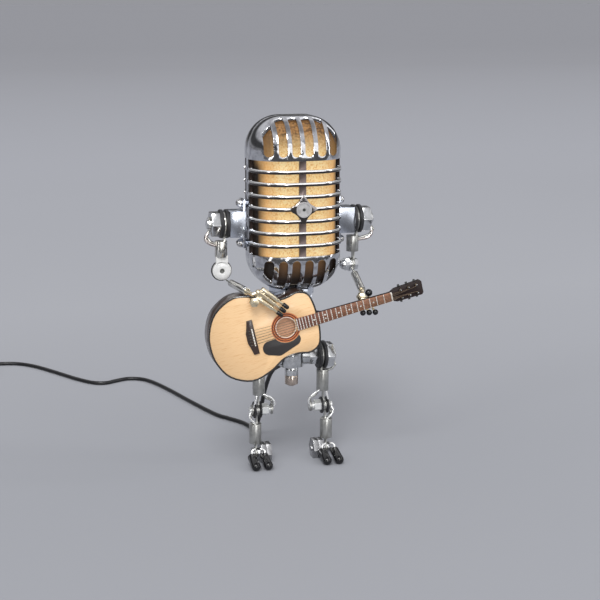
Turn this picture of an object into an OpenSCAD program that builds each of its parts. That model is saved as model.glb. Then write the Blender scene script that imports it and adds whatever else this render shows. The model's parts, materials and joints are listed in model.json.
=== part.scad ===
// Robot-shaped desk lamp: a microphone-shell head on a body of bolts, crimp
// sleeves and bent wire, holding a small acoustic guitar. Millimetres, +Z up,
// the robot looks along -Y. The guitar's neck points to +X.

/* [Head] */
// Width of the head
head_w = 57; // [50:1:62]
// Depth of the head
head_d = 51; // [46:1:56]
// Height of the head
head_h = 107; // [102:1:114]
// Radius of the head's corners and domes
head_r = 21; // [17:0.5:22]
// Wall of the two head shells
head_wall = 1.6; // [1.2:0.1:2]
// Number of open bands across the front
bands = 8; // [6:1:9]
// Height of one open band
band_h = 5.75; // [4.5:0.25:6]
// Height of the bars between the bands
bar_h = 1.7; // [1.2:0.1:2.2]
// Width of the upright rib behind the bars
rib_w = 4.2; // [3:0.2:6]
// Half width of the plain strip down each side
strip_w = 6; // [5:0.5:9]
// Width of a slot in the caps
slot_w = 5.3; // [4:0.1:6]
// Distance from one cap slot to the next
slot_pitch = 8; // [7:0.1:8.4]
// Solid height between the grille and the cap slots
slot_gap = 2.4; // [1.5:0.1:4]
// Half diagonal of the boss on the front rib
boss_w = 8.6; // [6:0.2:9]
// Thickness of the mesh liner
liner_t = 1; // [0.6:0.1:1.6]

/* [Body] */
// Width between the two hip eyes, centre to centre
hip_span = 39.6; // [37:0.2:44]
// Height of the hip bolts above the knee bolts
thigh_len = 33.5; // [31:0.5:40]
// Height of the knee bolts above the ankle bolts
shin_len = 28.5; // [26:0.5:34]
// Height of the head's underside above the hip bolts
torso_len = 46; // [44:0.5:56]
// Diameter of the body sleeve
torso_d = 18; // [14:0.5:24]
// Diameter of the pelvis cross tube
pelvis_d = 11; // [9.5:0.5:13]
// Diameter of the hollow rod up through the body
rod_d = 10; // [8:0.5:10.5]
// Width across flats of the neck collar
collar_af = 25; // [20:0.5:30]
// Thickness of the neck collar
collar_t = 5; // [3:0.5:7]

/* [Joints] */
// Diameter of the shoulder and hip bolts
big_bolt_d = 6; // [5:0.5:7]
// Diameter of the elbow, knee and ankle bolts
small_bolt_d = 4; // [3:0.5:4.5]
// Diameter of the large rubber washers
big_washer_d = 17.8; // [14:0.2:18.4]
// Thickness of a large rubber washer
big_washer_t = 2.1; // [1.2:0.1:2.4]
// Diameter of the small rubber washers
small_washer_d = 10.8; // [9:0.2:12]
// Thickness of a small rubber washer
small_washer_t = 1.1; // [0.8:0.1:1.6]
// Thickness of the flat eyes
eye_t = 1.2; // [0.8:0.1:1.6]
// Diameter of the crimp sleeves
sleeve_d = 7.8; // [6.5:0.1:8.5]
// Diameter of the bent wires
wire_d = 1.6; // [1.2:0.1:2]
// Width across flats of the shoulder and hip nuts
big_nut_af = 14.6; // [11:0.2:15.4]
// Width across flats of the knee nuts
knee_nut_af = 8.6; // [7.4:0.2:10]
// Width across flats of the heel nuts
heel_nut_af = 12; // [10:0.2:14]
// Diameter of the toe caps
toe_d = 5.8; // [4.6:0.2:6.4]

/* [Arms] */
// Height of the shoulder bolts above the head's underside
shoulder_up = 40.8; // [34:0.2:50]
// Length of the upper arm, shoulder to elbow
upper_arm = 29; // [27.5:0.5:36]
// Diameter of the forearm sleeves
forearm_d = 4.6; // [3.8:0.2:5]

/* [Guitar] */
// Thickness of the guitar's body
guitar_t = 12; // [9:0.5:14]
// Thickness of the top plate
top_t = 0.9; // [0.6:0.1:1.4]
// Width of the binding round the top
binding_w = 0.9; // [0.6:0.1:1.4]
// Wall of the guitar's rim and back
rim_t = 1.4; // [1:0.1:2]
// Distance from the sound hole to the nut
neck_reach = 68.6; // [64:0.5:76]
// Distance from the sound hole to the saddle
saddle_back = 21; // [18:0.5:24]
// Radius of the sound hole
hole_r = 6; // [5:0.25:6.5]
// Width of the fretboard at the nut
nut_w = 5.5; // [4.5:0.25:6.5]
// Width of the fretboard at the sound hole
board_w = 7.4; // [6.5:0.25:8]
// Number of frets
fret_count = 18; // [12:1:18]
// Rise of the neck, in degrees
neck_rise = 13; // [8:1:15]

/* [Cord] */
// Diameter of the cord
cord_d = 2.8; // [2.4:0.1:3.2]

/* [Hidden] */

$fn = 48;
eps = 0.01;
// Radial play of what turns on a bolt
run = 0.05;
// Gap beside what turns
side_gap = 0.1;

// The robot stands with the middle of its own box over the origin
shift_x = -8.06;
shift_y = 6.55;

// Heights, from the floor up
ankle_z = heel_nut_af / 2;
knee_z = ankle_z + shin_len;
hip_z = knee_z + thigh_len;
head_z = hip_z + torso_len;
shoulder_z = head_z + shoulder_up;
elbow_z = shoulder_z - upper_arm;

// Depths
leg_y = 5;
arm_y = 3;
shoulder_y = arm_y + 2;

big_r = big_bolt_d / 2;
small_r = small_bolt_d / 2;
wire_r = wire_d / 2;
sleeve_r = sleeve_d / 2;

module at_robot() {
    translate([shift_x, shift_y, 0]) children();
}

// Draws for one side: 1 is the robot's left (+X), -1 its right
module side(s) {
    at_robot() mirror([s < 0 ? 1 : 0, 0, 0]) children();
}

module rod(p, q, r) {
    v = q - p;
    l = norm(v);
    translate(p) rotate([0, acos(v[2] / l), atan2(v[1], v[0])]) cylinder(r = r, h = l);
}

// Wire through points, with a ball a little thicker than the wire at each bend
module wire(points, r = wire_r) {
    for (i = [0:len(points) - 2]) rod(points[i], points[i + 1], r);
    for (i = [1:len(points) - 2]) translate(points[i]) sphere(r = r * 1.06);
}

// Half profile of a domed screw head of radius r and height h
module dome(r, h) {
    ball = (r * r + h * h) / (2 * h);
    intersection() {
        translate([0, h - ball]) circle(r = ball);
        square([r, h]);
    }
}

// Rod from p to q with a round end at q, as one revolve
module capsule(p, q, r) {
    v = q - p;
    l = norm(v);
    translate(p) rotate([0, acos(v[2] / l), atan2(v[1], v[0])]) rotate_extrude() {
        square([r, l]);
        intersection() {
            translate([0, l]) circle(r = r);
            translate([0, l]) square(r);
        }
    }
}

// Round disc along X from x0 to x1, centred on y, z
module disc_x(x0, x1, r, y, z) {
    translate([x0, y, z]) rotate([0, 90, 0]) cylinder(r = r, h = x1 - x0);
}

// Hexagon along X with a flat side down
module hex_x(x0, x1, af, y, z) {
    translate([x0, y, z]) rotate([0, 90, 0]) rotate([0, 0, 30])
        cylinder(r = af / 2 / cos(30), h = x1 - x0, $fn = 6);
}

// Hexagon along Z
module hex_z(z0, z1, af) {
    translate([0, 0, z0]) cylinder(r = af / 2 / cos(30), h = z1 - z0, $fn = 6);
}

// ---------- Head ----------

grille_h = bands * band_h + (bands - 1) * bar_h;
grille_z = head_z + (head_h - grille_h) / 2 - 1.2;
boss_z = grille_z + grille_h / 2;
front_y = -head_d / 2;
rib_set = 0.9;
rib_t = 1.7;
liner_inset = rib_set + rib_t + 0.3;
boss_screw_r = 1.5;
boss_proud = 1.2;
cap_slots = 6;
slot_back = 10.5;

// Upright rectangle w by h with round corners
module round_rect(w, h, r) {
    square([w, h - 2 * r], center = true);
    square([w - 2 * r, h], center = true);
    for (x = [-1, 1], y = [-1, 1]) translate([x * (w / 2 - r), y * (h / 2 - r)]) circle(r = r);
}

// The head's block with every edge round, shrunk all over by inset
module head_block(inset) {
    r = head_r - inset;
    w = head_w - 2 * inset;
    d = head_d - 2 * inset;
    h = head_h - 2 * inset;
    flat_x = head_w / 2 - head_r;
    flat_y = head_d / 2 - head_r;
    translate([0, 0, head_z + head_h / 2]) {
        rotate([90, 0, 0]) linear_extrude(2 * flat_y, center = true) round_rect(w, h, r);
        rotate([90, 0, 90]) linear_extrude(2 * flat_x, center = true) round_rect(d, h, r);
        for (x = [-flat_x, flat_x], y = [-flat_y, flat_y]) translate([x, y, 0]) {
            cylinder(r = r, h = h - 2 * r, center = true);
            for (z = [-1, 1]) translate([0, 0, z * (h / 2 - r)]) sphere(r = r);
        }
    }
}

// Concave diamond, its tips half apart from the middle
module boss_outline(half) {
    difference() {
        rotate(45) square(half * sqrt(2), center = true);
        for (a = [45:90:315]) rotate(a) translate([half * 1.62, 0]) circle(r = half);
    }
}

// Windows of the front half: bands that wrap round to the side strips, and cap slots
module head_windows() {
    for (i = [0:bands - 1])
        translate([-head_w, -head_d, grille_z + i * (band_h + bar_h)])
            cube([2 * head_w, head_d - strip_w, band_h]);
    low_end = grille_z - slot_gap - slot_w / 2;
    high_end = grille_z + grille_h + slot_gap + slot_w / 2;
    for (i = [0:cap_slots - 1]) {
        x = (i - (cap_slots - 1) / 2) * slot_pitch;
        back = i == 0 || i == cap_slots - 1 ? slot_back + 3.5 : slot_back;
        for (z = [low_end, high_end]) translate([x, -back, z])
            rotate([90, 0, 0]) cylinder(r = slot_w / 2, h = head_d);
        translate([x - slot_w / 2, -back - head_d, high_end]) cube([slot_w, head_d, head_h]);
        translate([x - slot_w / 2, -back - head_d, low_end - head_h]) cube([slot_w, head_d, head_h]);
    }
}

module head_half(boss) {
    difference() {
        union() {
            difference() {
                head_block(0);
                head_block(head_wall);
                head_windows();
                translate([-head_w, 0, head_z - head_h]) cube([2 * head_w, head_d, 3 * head_h]);
            }
            translate([-rib_w / 2, front_y + rib_set, grille_z - slot_gap / 2])
                cube([rib_w, rib_t, grille_h + slot_gap]);
            if (boss) translate([0, front_y + head_wall, boss_z]) rotate([90, 0, 0])
                linear_extrude(head_wall + boss_proud) boss_outline(boss_w);
        }
        if (boss) translate([0, front_y + 2 * head_wall, boss_z]) rotate([90, 0, 0])
            cylinder(r = boss_screw_r, h = 6);
        translate([0, arm_y, head_z - 1]) cylinder(r = rod_d / 2, h = 8);
        for (s = [-1, 1], z = [-1, 1]) disc_x(s * head_w / 2 - 4, s * head_w / 2 + 4, plate_screw_r, shoulder_y,
            shoulder_z + z * plate_screw_up);
    }
}

module head_front_shell() {
    color("silver") at_robot() head_half(true);
}

module head_rear_shell() {
    color("silver") at_robot() rotate([0, 0, 180]) translate([0, 0, 0]) head_half_rear();
}

// The rear half, drawn turned about so that its back faces -Y
module head_half_rear() {
    difference() {
        union() {
            difference() {
                head_block(0);
                head_block(head_wall);
                head_windows();
                translate([-head_w, 0, head_z - head_h]) cube([2 * head_w, head_d, 3 * head_h]);
            }
            translate([-rib_w / 2, front_y + rib_set, grille_z - slot_gap / 2])
                cube([rib_w, rib_t, grille_h + slot_gap]);
        }
        translate([0, -arm_y, head_z - 1]) cylinder(r = rod_d / 2, h = 8);
        for (s = [-1, 1], z = [-1, 1]) disc_x(s * head_w / 2 - 4, s * head_w / 2 + 4, plate_screw_r, -shoulder_y,
            shoulder_z + z * plate_screw_up);
    }
}

module grille_liner() {
    color("goldenrod") at_robot() difference() {
        head_block(liner_inset);
        head_block(liner_inset + liner_t);
        translate([0, arm_y, head_z]) cylinder(r = rod_nut_af / 2 + 1.5, h = 12);
        for (s = [-1, 1], z = [-1, 1]) disc_x(s * head_w / 2 - 8, s * head_w / 2 + 4, 2.6, shoulder_y,
            shoulder_z + z * plate_screw_up);
    }
}

module boss_screw() {
    head_t = 1.6;
    seat = front_y - boss_proud;
    color("gainsboro") at_robot() translate([0, seat, boss_z]) rotate([90, 0, 0]) difference() {
        union() {
            translate([0, 0, -3]) cylinder(r = boss_screw_r, h = 3);
            intersection() {
                cylinder(r = 4.7, h = head_t);
                translate([0, 0, head_t - 9]) sphere(r = 9);
            }
        }
        translate([0, 0, head_t - 1]) cylinder(r = 0.9, h = 2);
    }
}

// ---------- Lamp inside the head ----------

rod_nut_af = 14;
rod_top = head_z + 10;
holder_h = 14;

module lamp_holder() {
    color("ivory") at_robot() translate([0, arm_y, 0]) {
        difference() {
            union() {
                translate([0, 0, head_z + 2]) hex_z(0, 3.4, rod_nut_af);
                translate([0, 0, head_z + 5.4]) cylinder(r = 8, h = holder_h);
            }
            translate([0, 0, head_z + 1]) cylinder(r = rod_d / 2, h = rod_top - head_z - 1);
        }
    }
}

module lamp_bulb() {
    color("lightyellow") at_robot() translate([0, arm_y, head_z + 5.4 + holder_h]) {
        cylinder(r = 6, h = 34);
        translate([0, 0, 34]) sphere(r = 6);
    }
}

// ---------- Body ----------

hub_r = 7.5;
hub_low = hip_z - pelvis_d / 2;
hub_high = hip_z + 7.4;
collar_z = head_z - collar_t;
rod_low = hip_z;

module body_rod() {
    color("silver") at_robot() translate([0, arm_y, rod_low]) difference() {
        cylinder(r = rod_d / 2, h = rod_top - rod_low);
        translate([0, 0, -1]) cylinder(r = rod_d / 2 - 1.5, h = rod_top - rod_low + 2);
    }
}

module neck_collar() {
    color("silver") at_robot() translate([0, arm_y, 0]) difference() {
        union() {
            translate([0, 0, collar_z]) hex_z(0, collar_t, collar_af);
            translate([-19, -4, collar_z - 4]) cube([6.5, 8, 4]);
            translate([-19, -4, collar_z]) cube([10, 8, 1.6]);
            translate([6, -5, collar_z - 5]) cube([6, 8, 5]);
        }
        translate([0, 0, collar_z - 9]) cylinder(r = rod_d / 2, h = collar_t + 12);
    }
}

module body_sleeve() {
    color("silver") at_robot() translate([0, arm_y, hub_high]) difference() {
        cylinder(r = torso_d / 2, h = collar_z - hub_high);
        translate([0, 0, -1]) cylinder(r = rod_d / 2, h = torso_len);
        translate([0, 0, stud_z - hub_high]) rotate([90, 0, 0]) cylinder(r = stud_r, h = torso_d);
        translate([-19.5, -9, collar_z - hub_high - 5]) cube([13, 18, 6]);
        translate([5.7, -5.3, collar_z - hub_high - 5.3]) cube([13, 8.6, 6]);
    }
}

pelvis_half = hip_span / 2 - eye_t / 2 - side_gap - big_washer_t - 5.8;
stem_r = 4;

module pelvis_tube() {
    color("silver") at_robot() difference() {
        union() {
            disc_x(-pelvis_half, pelvis_half, pelvis_d / 2, leg_y, hip_z);
            translate([0, arm_y, hub_low]) cylinder(r = hub_r, h = hub_high - hub_low);
        }
        translate([0, arm_y, rod_low]) cylinder(r = rod_d / 2, h = torso_len);
        translate([0, arm_y, hub_low - 1]) cylinder(r = stem_r, h = rod_low - hub_low + 1);
        for (s = [-1, 1]) disc_x(s > 0 ? hub_r + 1 : -pelvis_half - 1, s > 0 ? pelvis_half + 1 : -hub_r - 1,
            big_r, leg_y, hip_z);
        gland_hole();
    }
}

// ---------- Knob ----------

washer_t = 1;
barrel_r = 4.3;
barrel_h = 5;
knob_r = 4.2;
knob_h = 7.2;
knob_pin_r = 1.5;

module switch_washer() {
    color("black") at_robot() translate([0, arm_y, hub_low - washer_t]) difference() {
        cylinder(r = 4.9, h = washer_t);
        translate([0, 0, -1]) cylinder(r = stem_r, h = washer_t + 2);
    }
}

module switch_barrel() {
    low = hub_low - washer_t - barrel_h;
    color("tan") at_robot() translate([0, arm_y, 0]) difference() {
        union() {
            translate([0, 0, low]) cylinder(r = barrel_r, h = barrel_h);
            translate([0, 0, low]) cylinder(r = stem_r, h = rod_low - low - 0.5);
        }
        translate([0, 0, low - 1]) cylinder(r = knob_pin_r + run, h = 8);
    }
}

module dimmer_knob() {
    top = hub_low - washer_t - barrel_h - side_gap;
    color("tan") at_robot() translate([0, arm_y, top - knob_h]) {
        difference() {
            union() {
                translate([0, 0, 1.6]) cylinder(r = knob_r, h = knob_h - 1.6);
                intersection() {
                    cylinder(r = knob_r, h = 1.6);
                    translate([0, 0, 5]) sphere(r = 5);
                }
            }
            for (a = [0:60:300]) rotate(a) translate([knob_r, 0, 3.4]) sphere(r = 0.5);
        }
        translate([0, 0, knob_h]) cylinder(r = knob_pin_r, h = 5);
    }
}

// ---------- Shoulders ----------

arm_x = head_w / 2 + 14;
plate_t = 1.5;
plate_h = 30;
plate_w = 10;
plate_screw_r = 1.3;
plate_screw_up = 12.4;
bridge_h = 16;
bridge_x = arm_x - eye_t / 2 - side_gap - big_washer_t;
bridge_t = 1.3;
nut_t = 5.6;
washer_in = arm_x - eye_t / 2 - side_gap;
washer_out = arm_x + eye_t / 2 + side_gap;
shoulder_nut_x = washer_out + big_washer_t;

bridge_w = 13.6;
plate_off = 1.2;
plate_x = head_w / 2 + plate_off;

// Flange held off the head by spacers, and the box that carries the shoulder bolt, open at its back
module shoulder_brackets() {
    color("lightsteelblue") for (s = [-1, 1]) side(s) difference() {
        union() {
            translate([plate_x, shoulder_y - plate_w / 2, shoulder_z - plate_h / 2]) cube([plate_t, plate_w, plate_h]);
            translate([plate_x, shoulder_y - bridge_w / 2, shoulder_z - bridge_h / 2])
                cube([bridge_x - plate_x, bridge_w, bridge_h]);
            for (z = [-1, 1]) disc_x(head_w / 2 + 0.02, plate_x + 0.5, 2.4, shoulder_y - 1, shoulder_z + z * plate_screw_up);
        }
        translate([plate_x + plate_t, shoulder_y - bridge_w / 2 + bridge_t, shoulder_z - bridge_h / 2 + bridge_t])
            cube([bridge_x - plate_x - plate_t - bridge_t, bridge_w, bridge_h - 2 * bridge_t]);
        disc_x(plate_x, bridge_x + 1, big_r, shoulder_y, shoulder_z);
        for (z = [-1, 1])
            disc_x(plate_x - 2, plate_x + 4, plate_screw_r, shoulder_y, shoulder_z + z * plate_screw_up);
    }
}

module bracket_screws() {
    color("gainsboro") for (s = [-1, 1], z = [-1, 1]) side(s)
        translate([plate_x + plate_t, shoulder_y, shoulder_z + z * plate_screw_up]) rotate([0, 90, 0])
            rotate_extrude() {
                translate([0, -6]) square([plate_screw_r, 6.1]);
                square([2.8, 1.4]);
                translate([0, 1.4]) dome(2.5, 2.2);
            }
}

module shoulder_bolts() {
    color("gainsboro") for (s = [-1, 1]) side(s) {
        disc_x(bridge_x - bridge_t - 0.01, shoulder_nut_x + nut_t + 2.4, big_r, shoulder_y, shoulder_z);
        hex_x(bridge_x - bridge_t - 3.6, bridge_x - bridge_t, 9, shoulder_y, shoulder_z);
        hex_x(shoulder_nut_x, shoulder_nut_x + nut_t, big_nut_af, shoulder_y, shoulder_z);
    }
}

// Two rubber washers, one each side of an eye centred on x
module washer_pair(x, r, t, bore, y, z) {
    for (s = [-1, 1]) difference() {
        disc_x(x + s * (eye_t / 2 + side_gap + t / 2) - t / 2, x + s * (eye_t / 2 + side_gap + t / 2) + t / 2, r, y, z);
        disc_x(x - 10, x + 10, bore, y, z);
    }
}

module shoulder_washers() {
    color("black") for (s = [-1, 1]) side(s)
        washer_pair(arm_x, big_washer_d / 2, big_washer_t, big_r, shoulder_y, shoulder_z);
}

// ---------- Hips ----------

hip_x = hip_span / 2;
hip_nut_in = hip_x - eye_t / 2 - side_gap - big_washer_t;
hip_nut_out = hip_x + eye_t / 2 + side_gap + big_washer_t;
hip_nut_t = 4.6;

module hip_bolts() {
    color("gainsboro") for (s = [-1, 1]) side(s) {
        disc_x(hub_r + 1, hip_nut_out + hip_nut_t + 2, big_r, leg_y, hip_z);
        difference() {
            hex_x(pelvis_half, hip_nut_in, 10.4, leg_y, hip_z);
            disc_x(pelvis_half - 1, hip_nut_in + 1, big_r, leg_y, hip_z);
        }
        difference() {
            hex_x(hip_nut_out, hip_nut_out + hip_nut_t, big_nut_af, leg_y, hip_z);
            disc_x(hip_nut_out - 1, hip_nut_out + hip_nut_t + 1, big_r, leg_y, hip_z);
        }
    }
}

module hip_washers() {
    color("black") for (s = [-1, 1]) side(s)
        washer_pair(hip_x, big_washer_d / 2, big_washer_t, big_r, leg_y, hip_z);
}

// ---------- Legs, drawn for the robot's left ----------

thigh_x = hip_x + 1.2;
thigh_top = hip_z - 9.6;
thigh_low = knee_z + 10;
knee_x = thigh_x + 0.4;
knee_end_in = knee_x - 8;
knee_eye_gap = eye_t + 2 * side_gap;
shin_x = knee_x + knee_eye_gap + 0.6;
shin_top = knee_z - 9;
shin_low = ankle_z + 6.8;
bail_eye_r = big_r + 1.3;
small_eye_r = small_r + 1.4;

// Flat eye normal to X with a tongue down or up to z1
module flat_eye(x, r, bore, y, z, z1, tongue_w) {
    difference() {
        union() {
            disc_x(x - eye_t / 2, x + eye_t / 2, r, y, z);
            translate([x - eye_t / 2, y - tongue_w / 2, min(z, z1)]) cube([eye_t, tongue_w, abs(z - z1)]);
        }
        disc_x(x - 5, x + 5, bore, y, z);
    }
}

module thigh(s) {
    bail_x = hip_nut_out + hip_nut_t + side_gap + 0.6;
    color("silver") side(s) {
        flat_eye(hip_x, 7, big_r + run, leg_y, hip_z, thigh_top - 1, 4);
        translate([thigh_x, leg_y, thigh_low]) cylinder(r = sleeve_r, h = thigh_top - thigh_low);
        difference() {
            union() {
                disc_x(bail_x - 0.6, bail_x + 0.6, bail_eye_r, leg_y, hip_z);
                wire([[bail_x, leg_y, hip_z - 4], [bail_x + 1.4, leg_y - 0.6, hip_z - 7], [bail_x - 1, leg_y - 0.6, hip_z - 9.6],
                    [thigh_x, leg_y, thigh_top - 2]]);
            }
            disc_x(bail_x - 3, bail_x + 3, big_r + run, leg_y, hip_z);
        }
        flat_eye(knee_x, small_eye_r, small_r, leg_y, knee_z, thigh_low + 1, 2.2);
        difference() {
            union() {
                disc_x(knee_end_in - 1.2, knee_end_in, small_eye_r, leg_y, knee_z);
                wire([[thigh_x - 1.6, leg_y, thigh_low + 1], [knee_end_in + 2.6, leg_y - 0.6, thigh_low - 2.6],
                    [knee_end_in - 1, leg_y - 0.6, knee_z + 5.4], [knee_end_in - 0.6, leg_y, knee_z + 2.8]]);
            }
            disc_x(knee_end_in - 3, knee_end_in + 3, small_r, leg_y, knee_z);
        }
    }
}

module knee_bolt(s) {
    nut_x = knee_x - eye_t / 2 - small_washer_t;
    shaft_end = knee_x + eye_t / 2 + knee_eye_gap + small_washer_t + 2.8;
    color("gainsboro") side(s) {
        disc_x(knee_end_in - 1.2, shaft_end, small_r, leg_y, knee_z);
        difference() {
            hex_x(knee_end_in, nut_x, knee_nut_af, leg_y, knee_z);
            disc_x(knee_end_in - 1, nut_x + 1, small_r, leg_y, knee_z);
        }
    }
}

module knee_washers(s) {
    color("black") side(s) difference() {
        union() {
            disc_x(knee_x - eye_t / 2 - small_washer_t, knee_x - eye_t / 2, small_washer_d / 2, leg_y, knee_z);
            disc_x(knee_x + eye_t / 2 + knee_eye_gap, knee_x + eye_t / 2 + knee_eye_gap + small_washer_t,
                small_washer_d / 2, leg_y, knee_z);
        }
        disc_x(knee_x - 9, knee_x + 9, small_r, leg_y, knee_z);
    }
}

module shin(s) {
    eye_x = knee_x + eye_t / 2 + side_gap + eye_t / 2;
    loop_x = knee_x + eye_t / 2 + knee_eye_gap + small_washer_t + side_gap + 0.6;
    foot_x = shin_x - 0.2;
    color("silver") side(s) {
        flat_eye(eye_x, small_eye_r, small_r + run, leg_y, knee_z, shin_top - 1, 2.2);
        difference() {
            union() {
                disc_x(loop_x - 0.6, loop_x + 0.6, small_eye_r, leg_y, knee_z);
                wire([[loop_x, leg_y, knee_z - 2.8], [loop_x + 1.6, leg_y - 0.6, knee_z - 5],
                    [loop_x, leg_y - 0.6, knee_z - 7.4], [shin_x + 1, leg_y, shin_top - 1]]);
            }
            disc_x(loop_x - 3, loop_x + 3, small_r + run, leg_y, knee_z);
        }
        translate([shin_x, leg_y, shin_low]) cylinder(r = sleeve_r, h = shin_top - shin_low);
        flat_eye(foot_x, small_eye_r, small_r + run, leg_y, ankle_z, shin_low + 1, 2.2);
    }
}

toe_r = toe_d / 2;
toe_gap = 8;
toe_back = -3;
toe_tip = -13;

module toe_row(s) {
    foot_x = shin_x - 0.2;
    for (k = [-0.5, 0.5]) translate([foot_x + k * toe_gap, 0, 0]) children();
}

module foot(s) {
    foot_x = shin_x - 0.2;
    eye_out = foot_x + eye_t / 2 + side_gap + 0.9;
    eye_in = foot_x - eye_t / 2 - side_gap - 0.9;
    nut_x = foot_x - eye_t / 2 - side_gap - 1.8;
    color("gainsboro") side(s) difference() {
        union() {
            disc_x(nut_x - 7.6, eye_out + 1.6, small_r, leg_y, ankle_z);
            hex_x(nut_x - 6.8, nut_x - 3.5, heel_nut_af, leg_y, ankle_z);
            hex_x(nut_x - 3.3, nut_x, heel_nut_af, leg_y, ankle_z);
            for (x = [eye_in, eye_out]) disc_x(x - 0.9, x + 0.9, small_eye_r, leg_y, ankle_z);
            wire([[eye_in, leg_y - 2.6, ankle_z], [foot_x - toe_gap / 2, toe_back + 3, ankle_z - 0.2],
                [foot_x - toe_gap / 2, toe_back + 1, ankle_z - 0.6]]);
            wire([[eye_out, leg_y - 2.6, ankle_z], [foot_x + toe_gap / 2, toe_back + 3, ankle_z - 0.2],
                [foot_x + toe_gap / 2, toe_back + 1, ankle_z - 0.6]]);
        }
    }
}

module toe_caps(s) {
    foot_x = shin_x - 0.2;
    color("black") side(s) difference() {
        for (k = [-0.5, 0.5]) translate([foot_x + k * toe_gap, 0, 0])
            capsule([0, toe_back + 1, ankle_z - 0.6], [0, toe_tip, toe_r - 0.1], toe_r);
        translate([0, -40, -5]) cube([60, 80, 5]);
    }
}

module right_thigh() { thigh(-1); }
module left_thigh() { thigh(1); }
module right_knee_bolt() { knee_bolt(-1); }
module left_knee_bolt() { knee_bolt(1); }
module right_knee_washers() { knee_washers(-1); }
module left_knee_washers() { knee_washers(1); }
module right_shin() { shin(-1); }
module left_shin() { shin(1); }
module right_foot() { foot(-1); }
module left_foot() { foot(1); }
module right_toe_caps() { toe_caps(-1); }
module left_toe_caps() { toe_caps(1); }

// ---------- Arms ----------

arm_top = shoulder_z - 10.7;
arm_low = elbow_z + 8.4;
right_arm_x = arm_x + 1.8;
left_arm_x = arm_x - 2.2;
lug_r = 5.8;
lug_y = shoulder_y - 2.4;
lug_back = lug_y + eye_t;
elbow_eye_y = lug_back + side_gap;

// Round disc along Y from y0 to y1
module disc_y(y0, y1, r, x, z) {
    translate([x, y1, z]) rotate([90, 0, 0]) cylinder(r = r, h = y1 - y0);
}

// Eye on the shoulder bolt, crimp sleeve and the wire bail round the bolt's end
module arm_body(x) {
    bail_x = shoulder_nut_x + nut_t + side_gap + 0.6;
    flat_eye(arm_x, 7.4, big_r + run, shoulder_y, shoulder_z, arm_top - 1, 4);
    translate([x, shoulder_y, arm_low]) cylinder(r = sleeve_r, h = arm_top - arm_low);
    difference() {
        union() {
            disc_x(bail_x - 0.6, bail_x + 0.6, bail_eye_r, shoulder_y, shoulder_z);
            wire([[bail_x, shoulder_y, shoulder_z - 4], [bail_x + 2.2, shoulder_y - 0.6, shoulder_z - 7],
                [bail_x - 0.4, shoulder_y - 0.8, shoulder_z - 10.6], [x + 2, shoulder_y, shoulder_z - 13]]);
        }
        disc_x(bail_x - 3, bail_x + 3, big_r + run, shoulder_y, shoulder_z);
    }
}

module right_upper_arm() {
    color("silver") side(-1) difference() {
        union() {
            arm_body(right_arm_x);
            disc_y(lug_y, lug_back, lug_r, right_arm_x, elbow_z);
            translate([right_arm_x - 3.7, lug_y, elbow_z]) cube([7.4, eye_t, arm_low - elbow_z + 1]);
        }
        disc_y(lug_y - 1, lug_back + 1, small_r, right_arm_x, elbow_z);
    }
}

module right_elbow_screw() {
    nut_y = elbow_eye_y + eye_t + side_gap;
    color("gainsboro") side(-1) {
        disc_y(lug_y - 0.2, nut_y + 2.6, small_r, right_arm_x, elbow_z);
        translate([right_arm_x, nut_y + 2.2, elbow_z]) rotate([90, 0, 0]) cylinder(r = 3.7, h = 2.2, $fn = 6);
        difference() {
            disc_y(lug_y - 0.9, lug_y, 4.9, right_arm_x, elbow_z);
            disc_y(lug_y - 2, lug_y - 0.2, 1.5, right_arm_x, elbow_z);
        }
    }
}

forearm_r = forearm_d / 2;
fore_bend = [right_arm_x - 3.2, elbow_eye_y + eye_t / 2, elbow_z - 6.6];
fore_start = [right_arm_x - 4.6, -3, elbow_z - 6.9];
fore_end = [36.6, -31.5, elbow_z - 6.5];
fore_dir = (fore_end - fore_start) / norm(fore_end - fore_start);
wrist = [33.4, -36.8, elbow_z - 12.2];
palm = [30.8, -36.8, elbow_z - 6.4];
finger_dir = [-0.79, 0, -0.61];
finger_step = [1.8, 0, -2.3];
finger_root = [28.6, -36.8, elbow_z - 4.4];
crimp_len = 12.6;
finger_len = 18;
tip_len = 3.2;

module right_forearm() {
    color("silver") side(-1) difference() {
        union() {
            disc_y(elbow_eye_y, elbow_eye_y + eye_t, 5, right_arm_x, elbow_z);
            wire([[right_arm_x - 1.4, fore_bend[1], elbow_z - 3], fore_bend, fore_start + 2 * fore_dir], r = 0.5);
            rod(fore_start, fore_end, forearm_r);
        }
        rod(fore_end - 3 * fore_dir, fore_end + fore_dir, hand_wire_r + 0.05);
        disc_y(elbow_eye_y - 1, elbow_eye_y + 4, small_r + run, right_arm_x, elbow_z);
    }
}

module right_hand() {
    color("khaki") side(-1) {
        wire([fore_end - 2 * fore_dir, fore_end + 0.8 * fore_dir, [34.2, -36.4, elbow_z - 7.6], palm],
            r = hand_wire_r);
        translate(palm) sphere(r = 1.8);
        rod(palm, finger_root + finger_dir * 2, 1.2);
        rod(palm, finger_root + 2 * finger_step + finger_dir * 2, 1.1);
        rod(finger_root + finger_dir * 3, finger_root + 2 * finger_step + finger_dir * 3, 1);
        translate(wrist) rotate([90, 0, 0]) translate([0, 0, -1.4]) cylinder(r = 3, h = 2.8, $fn = 6);
        for (k = [0:2]) {
            rod(finger_root + k * finger_step, finger_root + k * finger_step + finger_dir * crimp_len, 1.4);
            rod(finger_root + k * finger_step + finger_dir, finger_root + k * finger_step + finger_dir * finger_len, 0.8);
        }
    }
}

module right_fingertips() {
    color("black") side(-1) for (k = [0:2]) difference() {
        end = finger_root + k * finger_step + finger_dir * (finger_len + 1.6);
        capsule(end - finger_dir * tip_len, end, 1.3);
        rod(end - finger_dir * (tip_len + 1), end - finger_dir * 1.6, 0.8);
    }
}

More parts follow.
